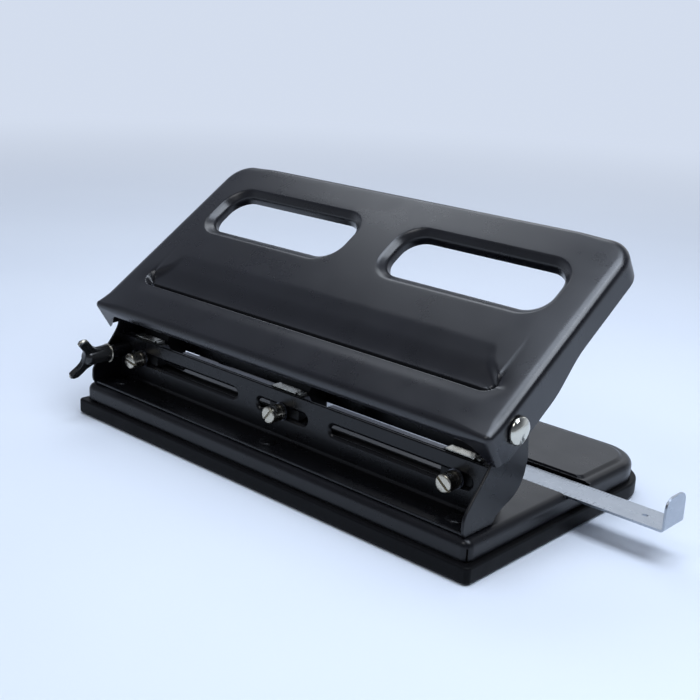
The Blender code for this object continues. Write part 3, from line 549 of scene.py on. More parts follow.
# turned-in rim: share of the way from the outer to the inner outline, height n
WINDOW_RIM = (
    (0, 0), (0.07, -0.05), (0.15, -0.18), (0.25, -0.44), (0.35, -0.80), (0.46, -1.24),
    (0.57, -1.72), (0.67, -2.14), (0.76, -2.52), (0.84, -2.96), (0.905, -3.5), (0.95, -4.2),
    (0.98, -5.1), (1.0, -6.1), (1.0, -7.3))

# grid inside the panel, closest where the groove's walls are
GRID_S = ([4 + 3.0 * i for i in range(4)] + [15.0, 16.5, 18.0, 19.3, 20.5, 21.5, 22.0]
          + [22.35 + 0.25 * i for i in range(22)] + [28.1, 28.5]
          + [29.0 + 1.3 * i for i in range(20)] + [56.5 + 3.0 * i for i in range(24)])
GRID_X = ([-100 + 4.0 * i for i in range(51)]
          + [a * (102.0 + 1.1 * i) for a in (-1, 1) for i in range(16)]
          + [a * (121.0 + 2.5 * i) for a in (-1, 1) for i in range(4)])


def panel_point(x, s, n):
    return Vector((x * MM, PANEL_Y + (s * COS_SLOPE - n * SIN_SLOPE) * MM,
                   PANEL_Z + (s * SIN_SLOPE + n * COS_SLOPE) * MM))


def flange_depth(x, s):
    # shallow along the front, deep at the front corners and down the sides
    if s < 3.6:
        return 6.2 + 11.9 * ease(118.0, 131.5, abs(x))
    return 20.5 - 5.0 * ease(41, 71, s)


def bend_radius(x, s):
    # tight at the front corners, softer along the sides and back
    if s < 2.6:
        return 4.4 - 1.6 * ease(112, 129, abs(x))
    side = 3.4 + 1.8 * ease(2.6, 12, s)
    return side - 1.4 * ease(118, 125, s) * ease(118, 100, abs(x))


def groove(x, s):
    # the land rolls over into a narrow valley; its far side is low, then the sheet climbs
    # slowly back to the panel
    if s < 15 or s > 56:
        return 0.0
    into = -rounded_distance(x - 1.5, s, cx=0.0, cy=72.6, half_x=118.5, half_y=50.0, r=9.0)
    widening = 15.0 * ease(25.5, 42.0, s) * ease(80, 110, abs(x))   # near wall, at the sides
    wall = ease(0.0, 2.1 + widening, into)
    roll = -0.45 * ease(-6.5, 0.6, into) * ease(132.0, 124.0, abs(x))
    roll *= (1.0 - ease(26.0, 40.0, s)) * (1.0 - ease(28.0, 50.0, s))
    far_side = 1.75 * ease(2.7, 3.9, into)
    climb = 3.2 * (0.42 * ease(27.0, 40.0, s) + 0.58 * ease(31.0, 56.0, s)) * wall
    return roll + min(-4.5 * wall + far_side + climb, 0.0)


def crown(x, s):
    # slight springback between the bends, falling away in a soft shoulder at the sides
    shoulder = max(abs(x) - 95.0, 0.0) / 32.0
    along = math.sin(math.pi * min(max(s / PANEL_LENGTH, 0), 1))
    return (0.35 * (1 - (x / PANEL_HALF) ** 2) * along
            - 0.95 * shoulder * shoulder * ease(-2, 10, s))


class Sheet:
    # the outer skin, and where the inner skin lies under each of its vertices

    def __init__(self):
        self.bm = bmesh.new()
        self.under = {}

    def vert(self, x, s, n, dx, ds, dn):
        # (dx, ds, dn) points through the sheet
        v = self.bm.verts.new(panel_point(x, s, n))
        self.under[v] = panel_point(x + dx * HANDLE_SHEET, s + ds * HANDLE_SHEET,
                                    n + dn * HANDLE_SHEET)
        return v

    def thicken(self):
        # drops unused vertices, adds the inner skin and closes the free edges
        bm = self.bm
        faces = list(bm.faces)
        free = [e for e in bm.edges if len(e.link_faces) == 1]
        under = {v: bm.verts.new(p) for v, p in self.under.items() if v.link_faces}
        for v in [v for v in self.under if not v.link_faces]:
            bm.verts.remove(v)
        for face in faces:
            bm.faces.new([under[v] for v in reversed(face.verts)])
        for edge in free:
            a, b = edge.verts
            bm.faces.new((a, b, under[b], under[a]))


def handle_flanges(sheet):
    # flanges and the bends above them; returns the loop where the panel starts
    plan = subdivided(rounded(-PANEL_HALF, PANEL_HALF, 0.0, PANEL_LENGTH,
                              (3.0, 3.0, 14.5, 14.5), 12), 4.0)
    stations = [(x, s, nx, ns, bend_radius(x, s))
                for (x, s), (nx, ns) in zip(plan, outline_normals(plan))]
    rings = []
    for share in FLANGE_SHARES:
        rings.append([sheet.vert(x, s, -(r + (flange_depth(x, s) - r) * share), -nx, -ns, 0.0)
                      for x, s, nx, ns, r in stations])
    for k in range(BEND_STEPS + 1):
        a = math.radians(90.0 * k / BEND_STEPS)
        ring = []
        for x, s, nx, ns, r in stations:
            inset = r * (1 - math.cos(a))
            px, ps = x - nx * inset, s - ns * inset
            n = -r * (1 - math.sin(a)) + crown(px, ps) * ease(0, 1, k / BEND_STEPS)
            ring.append(sheet.vert(px, ps, n, -nx * math.cos(a), -ns * math.cos(a),
                                   -math.sin(a)))
        rings.append(ring)
    quads(sheet.bm, rings)
    return rings[-1], [(x - nx * r, s - ns * r) for x, s, nx, ns, r in stations]


def handle_window(sheet, middle):
    # turned-in rim of one hand opening; returns the loop where it leaves the panel
    x0, x1 = middle - WINDOW_HALF_X, middle + WINDOW_HALF_X
    s0, s1 = WINDOW_S - WINDOW_HALF_S, WINDOW_S + WINDOW_HALF_S
    outer = rounded(x0, x1, s0, s1, (WINDOW_RADIUS,) * 4, 12)
    inner = rounded(x0 + 4.3, x1 - 4.3, s0 + 6.6, s1 - 4.6, (11.6,) * 4, 12)
    pairs = subdivided([a + b for a, b in zip(outer, inner)], 4.0)
    outline = [pair[:2] for pair in pairs]
    normals = outline_normals(outline)
    last = len(WINDOW_RIM) - 1
    rings = []
    for k, (share, n) in enumerate(WINDOW_RIM):
        share0, n0 = WINDOW_RIM[max(k - 1, 0)]
        share1, n1 = WINDOW_RIM[min(k + 1, last)]
        turn = math.atan2(n0 - n1, (share1 - share0) * 5.4)   # 5.4: mean width of the rim
        if k in (0, last):
            turn = 0.0 if k == 0 else math.pi / 2
        ring = []
        for (x, s, inner_x, inner_s), (nx, ns) in zip(pairs, normals):
            px, ps = blend(x, inner_x, share), blend(s, inner_s, share)
            ring.append(sheet.vert(px, ps, n + crown(px, ps), nx * math.sin(turn),
                                   ns * math.sin(turn), -math.cos(turn)))
        rings.append(ring)
    quads(sheet.bm, rings)
    return rings[0], outline


def on_panel(x, s):
    # clear of the bends and of both openings
    half_s = PANEL_LENGTH / 2
    if rounded_distance(x, s, 0.0, half_s, PANEL_HALF - bend_radius(x, s),
                        half_s - 4.7, 9.0) > -1.0:
        return False
    return all(rounded_distance(x, s, middle, WINDOW_S, WINDOW_HALF_X, WINDOW_HALF_S,
                                WINDOW_RADIUS) >= 1.0 for middle in (-WINDOW_X, WINDOW_X))


def handle():
    sheet = Sheet()
    loops = [handle_flanges(sheet)]
    loops += [handle_window(sheet, middle) for middle in (-WINDOW_X, WINDOW_X)]
    grid = [(sheet.vert(x, s, groove(x, s) + crown(x, s), 0.0, 0.0, -1.0), (x, s))
            for s in GRID_S for x in GRID_X if on_panel(x, s)]
    fill_cap(sheet.bm, loops, grid)
    sheet.thicken()
    ob = piece(sheet.bm, "handle_shell", HANDLE_ENAMEL, "lever",
               "lever_handle", 42)
    settle(ob, 42, cut=[hinge_bore(3.7 * MM)])
    soften(ob, weight=60)


def hinge_bore(radius):
    return tool(cylinder, (-0.15, HINGE_Y, HINGE_Z), (1, 0, 0), radius, 0.3)


# =====================================================================
# base shell
# =====================================================================
def base_skin():
    half_x, half_y = TRAY_HALF_X - SHELL_INSET, TRAY_HALF_Y - SHELL_INSET
    front_radius, back_radius, edge = 4.5 * MM, 22.0 * MM, 3.8 * MM
    channel_x, channel_y0, channel_y1 = -112 * MM, behind(77.2), behind(97.4)
    plan = rounded(-half_x, half_x, -half_y, half_y,
                   (front_radius, front_radius, back_radius, back_radius), 12)
    normals = outline_normals(plan)

    def drawn_in(inset):
        return [(x - nx * inset, y - ny * inset) for (x, y), (nx, ny) in zip(plan, normals)]

    # skirt and rounded top edge
    loops = [[(x, y, z) for x, y in plan] for z in (8.9 * MM, 9.2 * MM)]
    for k in range(10):
        a = math.radians(90.0 * k / 9)
        z = DECK_Z - edge * (1 - math.sin(a))
        loops.append([(x, y, z) for x, y in drawn_in(edge * (1 - math.cos(a)))])
    bm = bmesh.new()
    skirt = rings_through(bm, loops)

    # raised panel behind the channel
    outlines, loops = [], []
    for k in range(9):
        t = k / 8
        inset = edge + 0.8 * MM + 2.8 * MM * t
        r = back_radius - inset
        outlines.append(rounded(-half_x + inset, half_x - inset,
                                channel_y1 + 0.5 * MM + 0.9 * MM * t, half_y - inset,
                                (3 * MM, 3 * MM, r, r)))
        loops.append([(x, y, DECK_Z + 1.0 * MM * ease(0, 1, t)) for x, y in outlines[-1]])
    panel = rings_through(bm, loops)
    bm.faces.new(panel[-1])
    fill_cap(bm, [(skirt[-1], drawn_in(edge)), (panel[0], outlines[0])])

    skin = piece(bm, "base_skin", SHELL_ENAMEL, "base", "base_shell", 40)
    sheet = skin.modifiers.new("sheet", 'SOLIDIFY')
    sheet.thickness = 1.0 * MM
    sheet.offset = -1.0
    sheet.use_even_offset = True

    # the channel is a block let into the deck, then hollowed out and open to the right
    block = rounded(channel_x - 1.0 * MM, half_x - 0.5 * MM, channel_y0 - 1.0 * MM,
                    channel_y1 + 1.0 * MM, (3 * MM, 0.4 * MM, 0.4 * MM, 3 * MM), 8)
    hollow = rounded(channel_x, half_x + 5 * MM, channel_y0, channel_y1,
                     (2 * MM, 0.4 * MM, 0.4 * MM, 2 * MM), 8)
    under_heads = rounded(-120 * MM, 120 * MM, behind(36.5), behind(45.5), (3 * MM,) * 4, 8)
    cut = [tool(prism, hollow, along_z, CHANNEL_Z, DECK_Z + 6 * MM),
           tool(prism, under_heads, along_z, DECK_Z - 8 * MM, DECK_Z + 6 * MM),
           tool(box, -13 * MM, 13 * MM, behind(84), behind(90),
                CHANNEL_Z - 5 * MM, CHANNEL_Z + 4 * MM)]
    for side in (-1, 1):
        # open seam where the skirt's ends meet at the front corners
        corner = Matrix.Translation((side * (half_x - 1.6 * MM), -half_y + 1.6 * MM, 0))
        cut.append(tool(box, -0.42 * MM, 0.42 * MM, -6 * MM, 3.4 * MM, 4 * MM, 14.6 * MM,
                        corner @ Matrix.Rotation(math.radians(45 * side), 4, 'Z')))
    settle(skin, 40, cut=cut, add=[
        tool(prism, block, along_z, CHANNEL_Z - 1.1 * MM, DECK_Z - 0.55 * MM)])
    soften(skin)


# =====================================================================
# base tray
# =====================================================================
# inset from the edge, height, in mm: round the outside from below, then down into the tray
TRAY_PROFILE = (
    (0.9, 0.8), (0.35, 0.95), (0.05, 1.5), (0.0, 2.2), (0.0, 7.2), (0.12, 7.8), (0.5, 8.25),
    (1.1, 8.4), (3.4, 8.4), (3.9, 8.2), (4.4, 7.6), (4.4, 3.0))
# front and back of the shallow recesses in the underside, mm behind the front edge
TRAY_RECESSES = ((92, 106), (112, 126), (8.5, 20))


def tray_loop(inset, z):
    front, back = max(2.5 * MM - inset, 0.8 * MM), 25.0 * MM - inset
    return [(x, y, z) for x, y in rounded(
        -TRAY_HALF_X + inset, TRAY_HALF_X - inset, -TRAY_HALF_Y + inset, TRAY_HALF_Y - inset,
        (front, front, back, back), 14)]


def base_tray():
    loops = [tray_loop(inset * MM, z * MM) for inset, z in TRAY_PROFILE]
    tray = piece(shape(loft, loops), "tray_body", TRAY_PLASTIC, "base",
                 "base_tray", 40)
    cut = [tool(box, -100 * MM, 100 * MM, behind(26), behind(84), -5 * MM, 6 * MM)]
    for y0, y1 in TRAY_RECESSES:
        recess = rounded(-96 * MM, 96 * MM, behind(y0), behind(y1), (4 * MM,) * 4, 8)
        cut.append(tool(prism, recess, along_z, -2 * MM, 1.5 * MM))
    settle(tray, 40, cut=cut)
    soften(tray)


# =====================================================================
# punch frame: folded sheet with coined slots and two shaped end plates
# =====================================================================
# end plate outline: mm behind the front edge, height in mm; the foot between the ends is straight
END_PLATE = [
    (5.6, 18.15), (4.4, 20.4), (4.1, 23.2), (4.9, 27.6), (10.2, 34.5), (16.4, 41.3),
    (20.6, 47.0), (22.0, 51.0), (22.4, 56.0), (21.2, 62.0), (21.6, 66.0), (24.0, 69.1),
    (27.4, 71.0), (31.6, 71.0), (35.4, 69.1), (38.4, 66.3), (43.2, 62.4), (45.8, 57.5),
    (47.2, 49.4), (47.8, 43.6), (47.2, 39.8), (45.9, 34.8), (43.2, 30.4), (38.6, 26.7),
    (32.4, 24.2), (28.6, 22.3), (26.4, 20.4), (25.2, 18.15)]
# through the end plate: mm from the middle of the base, inset
END_LAYERS = ((128.0 - 1.5, 0.25), (128.0 - 1.3, 0.0), (128.0 - 0.5, 0.0), (128.0 - 0.2, 0.12),
              (128.0, 0.45))
SLOTS = ((-116, -32.5), (-17, 17), (32.5, 116))     # left and right ends, mm
SLOT_HALF_HEIGHT = 2.5 * MM
# through the slot: mm behind the wall's front face, growth of the coined rim
SLOT_LAYERS = ((-3.0, 1.75), (-0.02, 1.75), (0.12, 1.30), (0.45, 0.80), (0.85, 0.36),
               (1.2, 0.08), (1.35, 0.0), (5.0, 0.0))


def frame_section():
    # floor, bend and wall of the folded sheet, in Y and Z
    outer = 3.3 * MM
    chamfer = 0.4 * MM
    front, front_in = behind(6.0), behind(6.35)
    back, floor_top = WALL_Y + FRAME_SHEET, FRAME_Z + FRAME_SHEET
    cy, cz = back - outer, FRAME_Z + outer
    return ([(front, FRAME_Z + 0.35 * MM), (front_in, FRAME_Z), (cy, FRAME_Z)]
            + bend(cy, cz, outer, range(10, 90, 10))
            + [(back, cz), (back, WALL_TOP - chamfer), (back - chamfer, WALL_TOP),
               (WALL_Y + chamfer, WALL_TOP), (WALL_Y, WALL_TOP - chamfer), (WALL_Y, cz)]
            + bend(cy, cz, outer - FRAME_SHEET, range(80, 0, -10))
            + [(cy, floor_top), (front_in, floor_top), (front, floor_top - 0.35 * MM)])


def end_plate(side):
    def place(u, v, w):
        return side * w * MM, behind(u), max(v * MM, FRAME_Z)

    return tool(loft, inset_loops(spline(END_PLATE, 4), END_LAYERS, place))


def slot_tool(x0, x1):
    # straight through, opening into a coined rim on the front face
    loops = []
    for depth, growth in SLOT_LAYERS:
        g = growth * MM
        outline = rounded(x0 - g, x1 + g, SCREW_Z - SLOT_HALF_HEIGHT - g,
                          SCREW_Z + SLOT_HALF_HEIGHT + g, (2.49 * MM + g,) * 4)
        loops.append([(x, WALL_Y + depth * MM, z) for x, z in outline])
    return tool(loft, loops)


def punch_frame():
    press = piece(shape(prism, frame_section(), along_x, -127.6 * MM, 127.6 * MM),
                  "frame_pressing", FRAME_ENAMEL, "base", "punch_frame")
    cut = [slot_tool(x0 * MM, x1 * MM) for x0, x1 in SLOTS]
    cut.append(tool(cylinder, (WING_X, WALL_Y - 3 * MM, WING_Z), (0, 1, 0), 2.7 * MM, 8 * MM))
    cut.append(hinge_bore(3.3 * MM))
    settle(press, 32, add=[end_plate(-1), end_plate(1)], cut=cut)
    soften(press)


# =====================================================================
# rivets, hinge pins and thumb screws; profiles are (radius, height) in mm
# =====================================================================
RIVET_PROFILE = (
    (0, 0), (5.0, 0), (5.0, 0.22), (4.55, 0.30), (4.3, 0.16), (4.1, 0.35), (3.8, 0.62),
    (3.2, 0.82), (2.0, 0.93), (0, 0.97))
SCREW_HEAD = [
    (1.8, -0.4), (1.8, 0.0), (3.6, 0.0), (4.05, 0.18), (4.3, 0.6), (4.3, 2.2), (4.18, 2.35),
    (4.18, 2.6), (4.3, 2.75), (4.3, 7.7), (4.18, 8.1), (3.85, 8.4), (3.4, 8.55), (0, 8.6)]


def floor_rivets():
    # each head has a pressed ring round it
    for i, x in enumerate((-115.5, 0.0, 115.5), 1):
        bm = shape(lathe, RIVET_PROFILE, (x * MM, behind(15), FRAME_Z + FRAME_SHEET),
                   (0, 0, 1), 56)
        piece(bm, "floor_rivet_%d" % i, FRAME_ENAMEL, "base",
              "frame_rivet_%d" % i, 30)


def hinge_pins():
    profile = [(0, 0), (2.9, 0), (2.9, 6.3), (5.7, 6.3), (6.2, 6.5), (6.45, 6.9), (6.5, 7.3)]
    # domed head
    profile += [(6.5 * math.cos(math.radians(a)) ** 0.9, 7.3 + 2.95 * math.sin(math.radians(a)))
                for a in range(9, 90, 9)]
    profile.append((0, 10.25))
    for side, name in ((-1, "left"), (1, "right")):
        bm = shape(lathe, profile, (side * 126.6 * MM, HINGE_Y, HINGE_Z), (side, 0, 0), 72)
        piece(bm, "pivot_" + name, NICKEL_DOME, "base", "hinge_pin_" + name, 38)


def thumb_screws():
    y = WALL_Y - 0.9 * MM
    profile = [(0, -9.0), (1.7, -9.0), (2.0, -8.6)]
    height = -8.4
    while height < -1.2:
        # one ridge of the thread
        profile += [(2.0, height), (1.72, height + 0.25), (2.0, height + 0.5)]
        height += 0.6
    profile += SCREW_HEAD
    # the driver slot is turned a little differently on each
    for (name, x), turn in zip(HEADS, (12, -52, 38)):
        screw = piece(shape(lathe, profile, (x, y, SCREW_Z), (0, -1, 0), 56), "screw_" + name,
                      SCREW_NICKEL, "screw_" + name, "thumb_screw_" + name, 32)
        place = (Matrix.Translation((x, y, SCREW_Z))
                 @ Matrix.Rotation(math.radians(turn), 4, 'Y'))
        settle(screw, 32, cut=[tool(box, -6 * MM, 6 * MM, -9.6 * MM, -7.0 * MM,
                                    -0.6 * MM, 0.6 * MM, place)])


# =====================================================================
# return springs, wound round each pin between the head and the collar
# =====================================================================
SPRING_Y, SPRING_Z = behind(41.0), 46.7 * MM
SPRING_LENGTH, PIN_STROKE = 9.4, 6.85               # mm
COIL_RADIUS, WIRE_RADIUS = 4.35 * MM, 0.48 * MM
COIL_TURNS, COIL_STEPS, WIRE_SEGMENTS = 4.0, 40, 10


def coil_loops(x):
    loops = []
    total = int(COIL_TURNS * COIL_STEPS)
    for i in range(total + 1):
        t = i / total
        a = 2 * math.pi * COIL_TURNS * t
        # the end turns lie nearly flat
        rise = min(max((t * COIL_TURNS - 0.75) / (COIL_TURNS - 1.5), 0.0), 1.0)
        z = (SPRING_Z + WIRE_RADIUS
             + (SPRING_LENGTH * MM - 2 * WIRE_RADIUS) * (0.94 * rise + 0.06 * t))
        out = Vector((math.cos(a), math.sin(a), 0))
        centre = Vector((x, SPRING_Y, z)) + out * COIL_RADIUS
        angles = [2 * math.pi * k / WIRE_SEGMENTS for k in range(WIRE_SEGMENTS)]
        loops.append([centre + out * WIRE_RADIUS * math.cos(b)
                      + Vector((0, 0, WIRE_RADIUS * math.sin(b))) for b in angles])
    return loops


def return_springs():
    for name, x in HEADS:
        spring = piece(shape(loft, coil_loops(x)), "spring_coil_" + name, SPRING_WIRE,
                       "head_" + name, "return_spring_" + name, 50)
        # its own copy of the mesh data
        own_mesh(spring)


def head_saddles():
    # nickel saddles that ride over the guide bar: a long plate and a short one to its right
    radii = (0.5 * MM,) * 4
    for name, x in HEADS:
        bm = bmesh.new()
        prism(bm, rounded(x - 8.4 * MM, x + 7.6 * MM, behind(25.2), behind(30.8), radii, 5),
              along_z, 43.95 * MM, 44.75 * MM)
        prism(bm, rounded(x + 8.4 * MM, x + 10.6 * MM, behind(25.6), behind(30.4), radii, 5),
              along_z, 43.4 * MM, 44.7 * MM)
        piece(bm, "head_saddle_" + name, NICKEL, "head_" + name, angle=30)


# =====================================================================
# wing screw: cast butterfly on a collar
# =====================================================================
WING_Y = behind(10.0)
WING_TILT = Matrix.Rotation(math.radians(24), 3, 'Y')
# half of the butterfly: mm out from the axis, mm forward of WING_Y
WING_HALF = [
    (3.0, 3.0), (4.3, 4.6), (4.9, 6.6), (5.6, 9.4), (7.4, 12.4), (9.8, 14.3), (12.2, 16.6),
    (12.7, 19.0), (12.0, 21.1), (10.0, 21.7), (8.0, 20.2), (6.2, 18.2), (3.6, 16.6)]
# across the butterfly's thickness: mm from its middle, inset
WING_LAYERS = ((-1.5, 0.9), (-1.5, 0.35), (-1.1, 0.0), (1.1, 0.0), (1.5, 0.35), (1.5, 0.9))
WING_TIP = ((7.9, 13.05), (9.9, 14.45), (12.25, 16.75), (12.78, 19.0), (12.1, 21.2),
            (10.1, 21.82))
# section of the tip's rim in mm: across the thickness, off the edge
RIM_SECTION = ((-1.05, -0.12), (-0.8, 0.10), (0.8, 0.10), (1.05, -0.12), (0.8, -0.16),
               (-0.8, -0.16))
HUB_PROFILE = (
    (0, 0.6), (4.7, 0.6), (4.9, 1.2), (4.75, 3.0), (4.5, 8.0), (4.1, 12.5), (3.6, 14.6),
    (2.6, 15.4), (0, 15.6))
STEM_PROFILE = (
    (0, -15.2), (1.9, -15.2), (2.4, -14.8), (2.45, -0.6), (4.6, -0.6), (5.1, -0.35),
    (5.2, 0.1), (5.0, 0.45), (4.4, 0.6), (0, 0.6))


def wing_point(u, v, w):
    # mm out from the axis, forward, and through the thickness
    p = WING_TILT @ Vector((w * MM, 0, u * MM))
    return Vector((WING_X + p.x, WING_Y - v * MM, WING_Z + p.z))


def wing_rim_loops(side):
    path = [wing_point(side * u, v, 0) for u, v in WING_TIP]
    across = WING_TILT @ Vector((1, 0, 0))
    loops = []
    for i, p in enumerate(path):
        ahead = (path[min(i + 1, len(path) - 1)] - path[max(i - 1, 0)]).normalized()
        off = ahead.cross(across).normalized()
        width = 0.25 + 0.75 * math.sin(math.pi * (i + 0.5) / len(path))
        loops.append([p + across * (w * width * MM) + off * (h * MM) for w, h in RIM_SECTION])
    return loops


def wing_screw():
    centre, forward = (WING_X, WING_Y, WING_Z), (0, -1, 0)
    outline = WING_HALF + [(0.0, 16.1)] + [(-u, v) for u, v in reversed(WING_HALF)]
    wing = piece(shape(loft, inset_loops(outline, WING_LAYERS, wing_point)), "wing_body",
                 WING_ENAMEL, "wing", "wing_screw", 40)
    settle(wing, 40, add=[tool(lathe, HUB_PROFILE, centre, forward, 48)])
    piece(shape(lathe, STEM_PROFILE, centre, forward, 48), "wing_stem", SCREW_NICKEL, "wing",
          angle=32)
    # bright rims where the coating is ground off the wing tips
    for side, letter in ((-1, "a"), (1, "b")):
        piece(shape(loft, wing_rim_loops(side)), "wing_rim_" + letter, SCREW_NICKEL, "wing",
              angle=60)


# =====================================================================
# paper guide with turned-up stop and faint scale
# =====================================================================
GUIDE_X0, GUIDE_X1 = -60.0 * MM, 180.3 * MM
GUIDE_Y0, GUIDE_Y1 = behind(78.4), behind(95.5)
GUIDE_Z, GUIDE_SHEET = 15.9 * MM, 1.1 * MM
STOP_TOP = GUIDE_Z + 15.5 * MM


def stop_corner(y, side):
    # cuts the stop's top corner to a quarter circle
    r = 5.0 * MM
    cy, cz = y - side * r, STOP_TOP - r
    outline = [(cy + side * r * math.cos(math.radians(a)), cz + r * math.sin(math.radians(a)))
               for a in range(0, 91, 9)]
    outline += [(y, STOP_TOP + 2 * MM), (y + side * 2 * MM, STOP_TOP + 2 * MM),
                (y + side * 2 * MM, cz)]
    return tool(prism, outline, along_x, GUIDE_X1 - 4 * MM, GUIDE_X1 + 2 * MM)


def paper_guide():
    outer = 2.0 * MM
    cx, cz = GUIDE_X1 - outer, GUIDE_Z + outer
    stop_x, strip_top = GUIDE_X1 - GUIDE_SHEET, GUIDE_Z + GUIDE_SHEET
    section = ([(GUIDE_X0, GUIDE_Z), (cx, GUIDE_Z)]
               + bend(cx, cz, outer, range(10, 90, 10))
               + [(GUIDE_X1, cz), (GUIDE_X1, STOP_TOP), (stop_x, STOP_TOP), (stop_x, cz)]
               + bend(cx, cz, outer - GUIDE_SHEET, range(80, 0, -10))
               + [(cx, strip_top), (GUIDE_X0, strip_top)])
    guide = piece(shape(prism, section, along_y, GUIDE_Y0, GUIDE_Y1), "guide_strip",
                  GUIDE_ZINC, "guide", "paper_guide", 30)
    settle(guide, 30, cut=[
        tool(cylinder, (166.4 * MM, behind(87.2), GUIDE_Z - 3 * MM), (0, 0, 1), 1.3 * MM,
             9 * MM),
        stop_corner(GUIDE_Y0, -1), stop_corner(GUIDE_Y1, 1)])


def guide_scale():
    # graduations along both edges, every other one on the front edge
    margin, top = 0.5, GUIDE_Z + GUIDE_SHEET
    bm = bmesh.new()
    for i in range(85):
        x = 24.0 + 1.5 * i
        length = 3.4 if i % 10 == 0 else (2.5 if i % 5 == 0 else 1.6)
        near, far = margin * MM, (margin + length) * MM
        spans = [(GUIDE_Y1 - far, GUIDE_Y1 - near)]
        if i % 2 == 0:
            spans.append((GUIDE_Y0 + near, GUIDE_Y0 + far))
        for y0, y1 in spans:
            box(bm, (x - 0.09) * MM, (x + 0.09) * MM, y0, y1, top - 0.03 * MM,
                top + 0.015 * MM)
    piece(bm, "guide_scale", SCALE_INK, "guide", angle=20)


for build in (handle, base_skin, base_tray, punch_frame, floor_rivets, hinge_pins,
              thumb_screws, return_springs, head_saddles, wing_screw, paper_guide,
              guide_scale):
    build()

# =====================================================================
# finishes of the frame's own pieces
# =====================================================================
FINISHES = [
    (RUBBER, ("foot_1", "foot_2", "foot_3", "foot_4")),
    (DOOR_PLASTIC, ("chip_door",)),
    # painted shade: near black for the shade inside the frame
    (INTERIOR_SHADE_ENAMEL, ("guide_rod_lower",)),
    (FRAME_ENAMEL, ("rear_cover", "wing_sleeve")),
    (BAR_STEEL, ("guide_bar_upper", "press_rib")),
    (SPRING_WIRE, ("guide_drag_spring",)),
    (NYLON, ("hinge_washer_left", "hinge_washer_right"))]
for head, _ in HEADS:
    # painted shade: the head blocks are near black for the shade inside the frame
    FINISHES += [(INTERIOR_SHADE_ENAMEL, ("head_block_" + head,)), (GROUND_STEEL, ("punch_pin_" + head,)),
                 (NICKEL, ("pin_collar_" + head,)), (BAR_STEEL, ("clamp_washer_" + head,))]
for material, names in FINISHES:
    for name in names:
        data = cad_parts[name].data
        data.materials.clear()
        data.materials.append(material)
        for polygon in data.polygons:
            polygon.material_index = 0

# =====================================================================
# studio: pale floor, soft light, camera
# =====================================================================
BACKDROP = (0.655, 0.725, 0.855)


def studio_floor():
    mesh = bpy.data.meshes.new("floor")
    bm = bmesh.new()
    bmesh.ops.create_grid(bm, x_segments=2, y_segments=2, size=6.0)
    bm.to_mesh(mesh)
    bm.free()
    floor = bpy.data.objects.new("floor", mesh)
    bpy.context.scene.collection.objects.link(floor)
    # paper that fades into the backdrop's colour with distance
    t = Tree(bpy.data.materials.new("floor_paper"))
    paper = t.mix(t.remap(t.noise(scale=3.0, detail=3.0, rough=0.5)),
                  (0.74, 0.785, 0.86), (0.78, 0.825, 0.89))
    t.put(t.bsdf, Base_Color=paper, Roughness=0.85, Specular_IOR_Level=0.1)
    distance = t.vector_math('LENGTH', t.coord["Object"])
    far = t.remap(distance, span=(0.35, 1.5), smooth=True)
    glow = t.node("ShaderNodeEmission", Color=(*BACKDROP, 1))
    faded = t.node("ShaderNodeMixShader", far, t.bsdf.outputs[0], glow.outputs[0])
    t.put(t.nodes["Material Output"], Surface=faded.outputs[0])
    mesh.materials.append(t.owner)


def studio_world():
    world = bpy.data.worlds.new("studio")
    bpy.context.scene.world = world
    t = Tree(world)
    direction = t.coord["Generated"]
    height = t.node("ShaderNodeSeparateXYZ", direction).outputs["Z"]
    sky = t.node("ShaderNodeValToRGB", height)
    stops = sky.color_ramp.elements
    stops[0].position = 0.0
    stops[0].color = (*BACKDROP, 1)
    stops[1].position = 1.0
    stops[1].color = (0.20, 0.22, 0.27, 1)
    for position, colour in ((0.06, BACKDROP), (0.45, (0.27, 0.30, 0.37))):
        stops.new(position).color = (*colour, 1)
    # the room behind the viewer is darker than the backdrop
    facing = t.vector_math('DOT_PRODUCT', direction, (-0.66, 0.75, 0.0))
    t.put(t.nodes["Background"], Color=sky.outputs[0],
          Strength=t.remap(facing, span=(-0.30, 0.45), to=(0.34, 1.0), smooth=True))


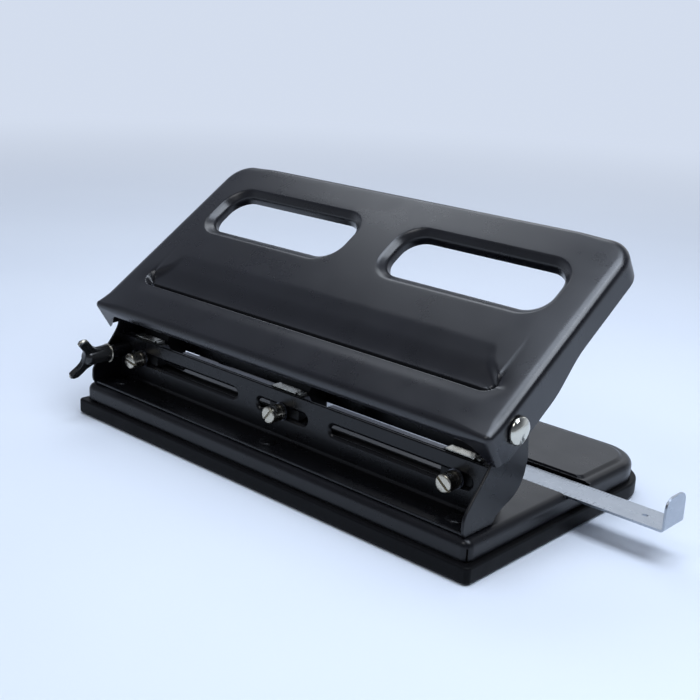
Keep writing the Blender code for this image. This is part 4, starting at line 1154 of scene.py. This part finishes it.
def area(name, at, aim, size, watts, colour):
    data = bpy.data.lights.new(name, 'AREA')
    data.shape = 'RECTANGLE'
    data.size, data.size_y = size
    data.energy = watts
    data.color = colour
    light = bpy.data.objects.new(name, data)
    bpy.context.scene.collection.objects.link(light)
    light.location = at
    light.rotation_mode = 'QUATERNION'
    light.rotation_quaternion = (Vector(aim) - Vector(at)).to_track_quat('-Z', 'Y')


def camera():
    data = bpy.data.cameras.new("cam")
    data.sensor_width = 36.0
    data.sensor_fit = 'HORIZONTAL'
    data.lens = 61.54
    data.clip_start, data.clip_end = 0.01, 50.0
    cam = bpy.data.objects.new("cam", data)
    bpy.context.scene.collection.objects.link(cam)
    ahead = Vector((-0.6345853, 0.7141062, -0.2955568)).normalized()
    up = Vector((-0.2358961, 0.1852038, 0.9539668))
    right = ahead.cross(up).normalized()
    up = right.cross(ahead).normalized()
    place = (0.38938 + SHIFT.x, -0.44388 + SHIFT.y, 0.23693)
    cam.matrix_world = Matrix([(right[i], up[i], -ahead[i], place[i]) for i in range(3)]
                              + [(0, 0, 0, 1)])
    bpy.context.scene.camera = cam


studio_floor()
studio_world()
area("overhead", at=(0.03, 0.03, 1.02), aim=(0.0, 0.0, 0.10), size=(0.42, 0.56), watts=4.6,
     colour=(0.76, 0.85, 1.0))
area("over_right", at=(0.44, 0.0, 0.80), aim=(0.10, 0.02, 0.10), size=(0.36, 0.50), watts=4.0,
     colour=(0.80, 0.88, 1.0))
area("left_back", at=(-0.74, 0.56, 1.10), aim=(0.0, 0.0, 0.08), size=(0.80, 0.50), watts=3.6,
     colour=(0.86, 0.92, 1.0))
area("front_top", at=(-0.10, -1.00, 1.30), aim=(0.0, -0.05, 0.0), size=(0.7, 0.5), watts=4.0,
     colour=(0.95, 0.97, 1.0))
area("back_soft", at=(-0.25, 1.30, 0.75), aim=(0.0, 0.0, 0.05), size=(1.3, 0.6), watts=1.8,
     colour=(0.94, 0.97, 1.0))
camera()
bpy.context.scene.view_settings.view_transform = 'Standard'
bpy.context.scene.view_settings.look = 'None'
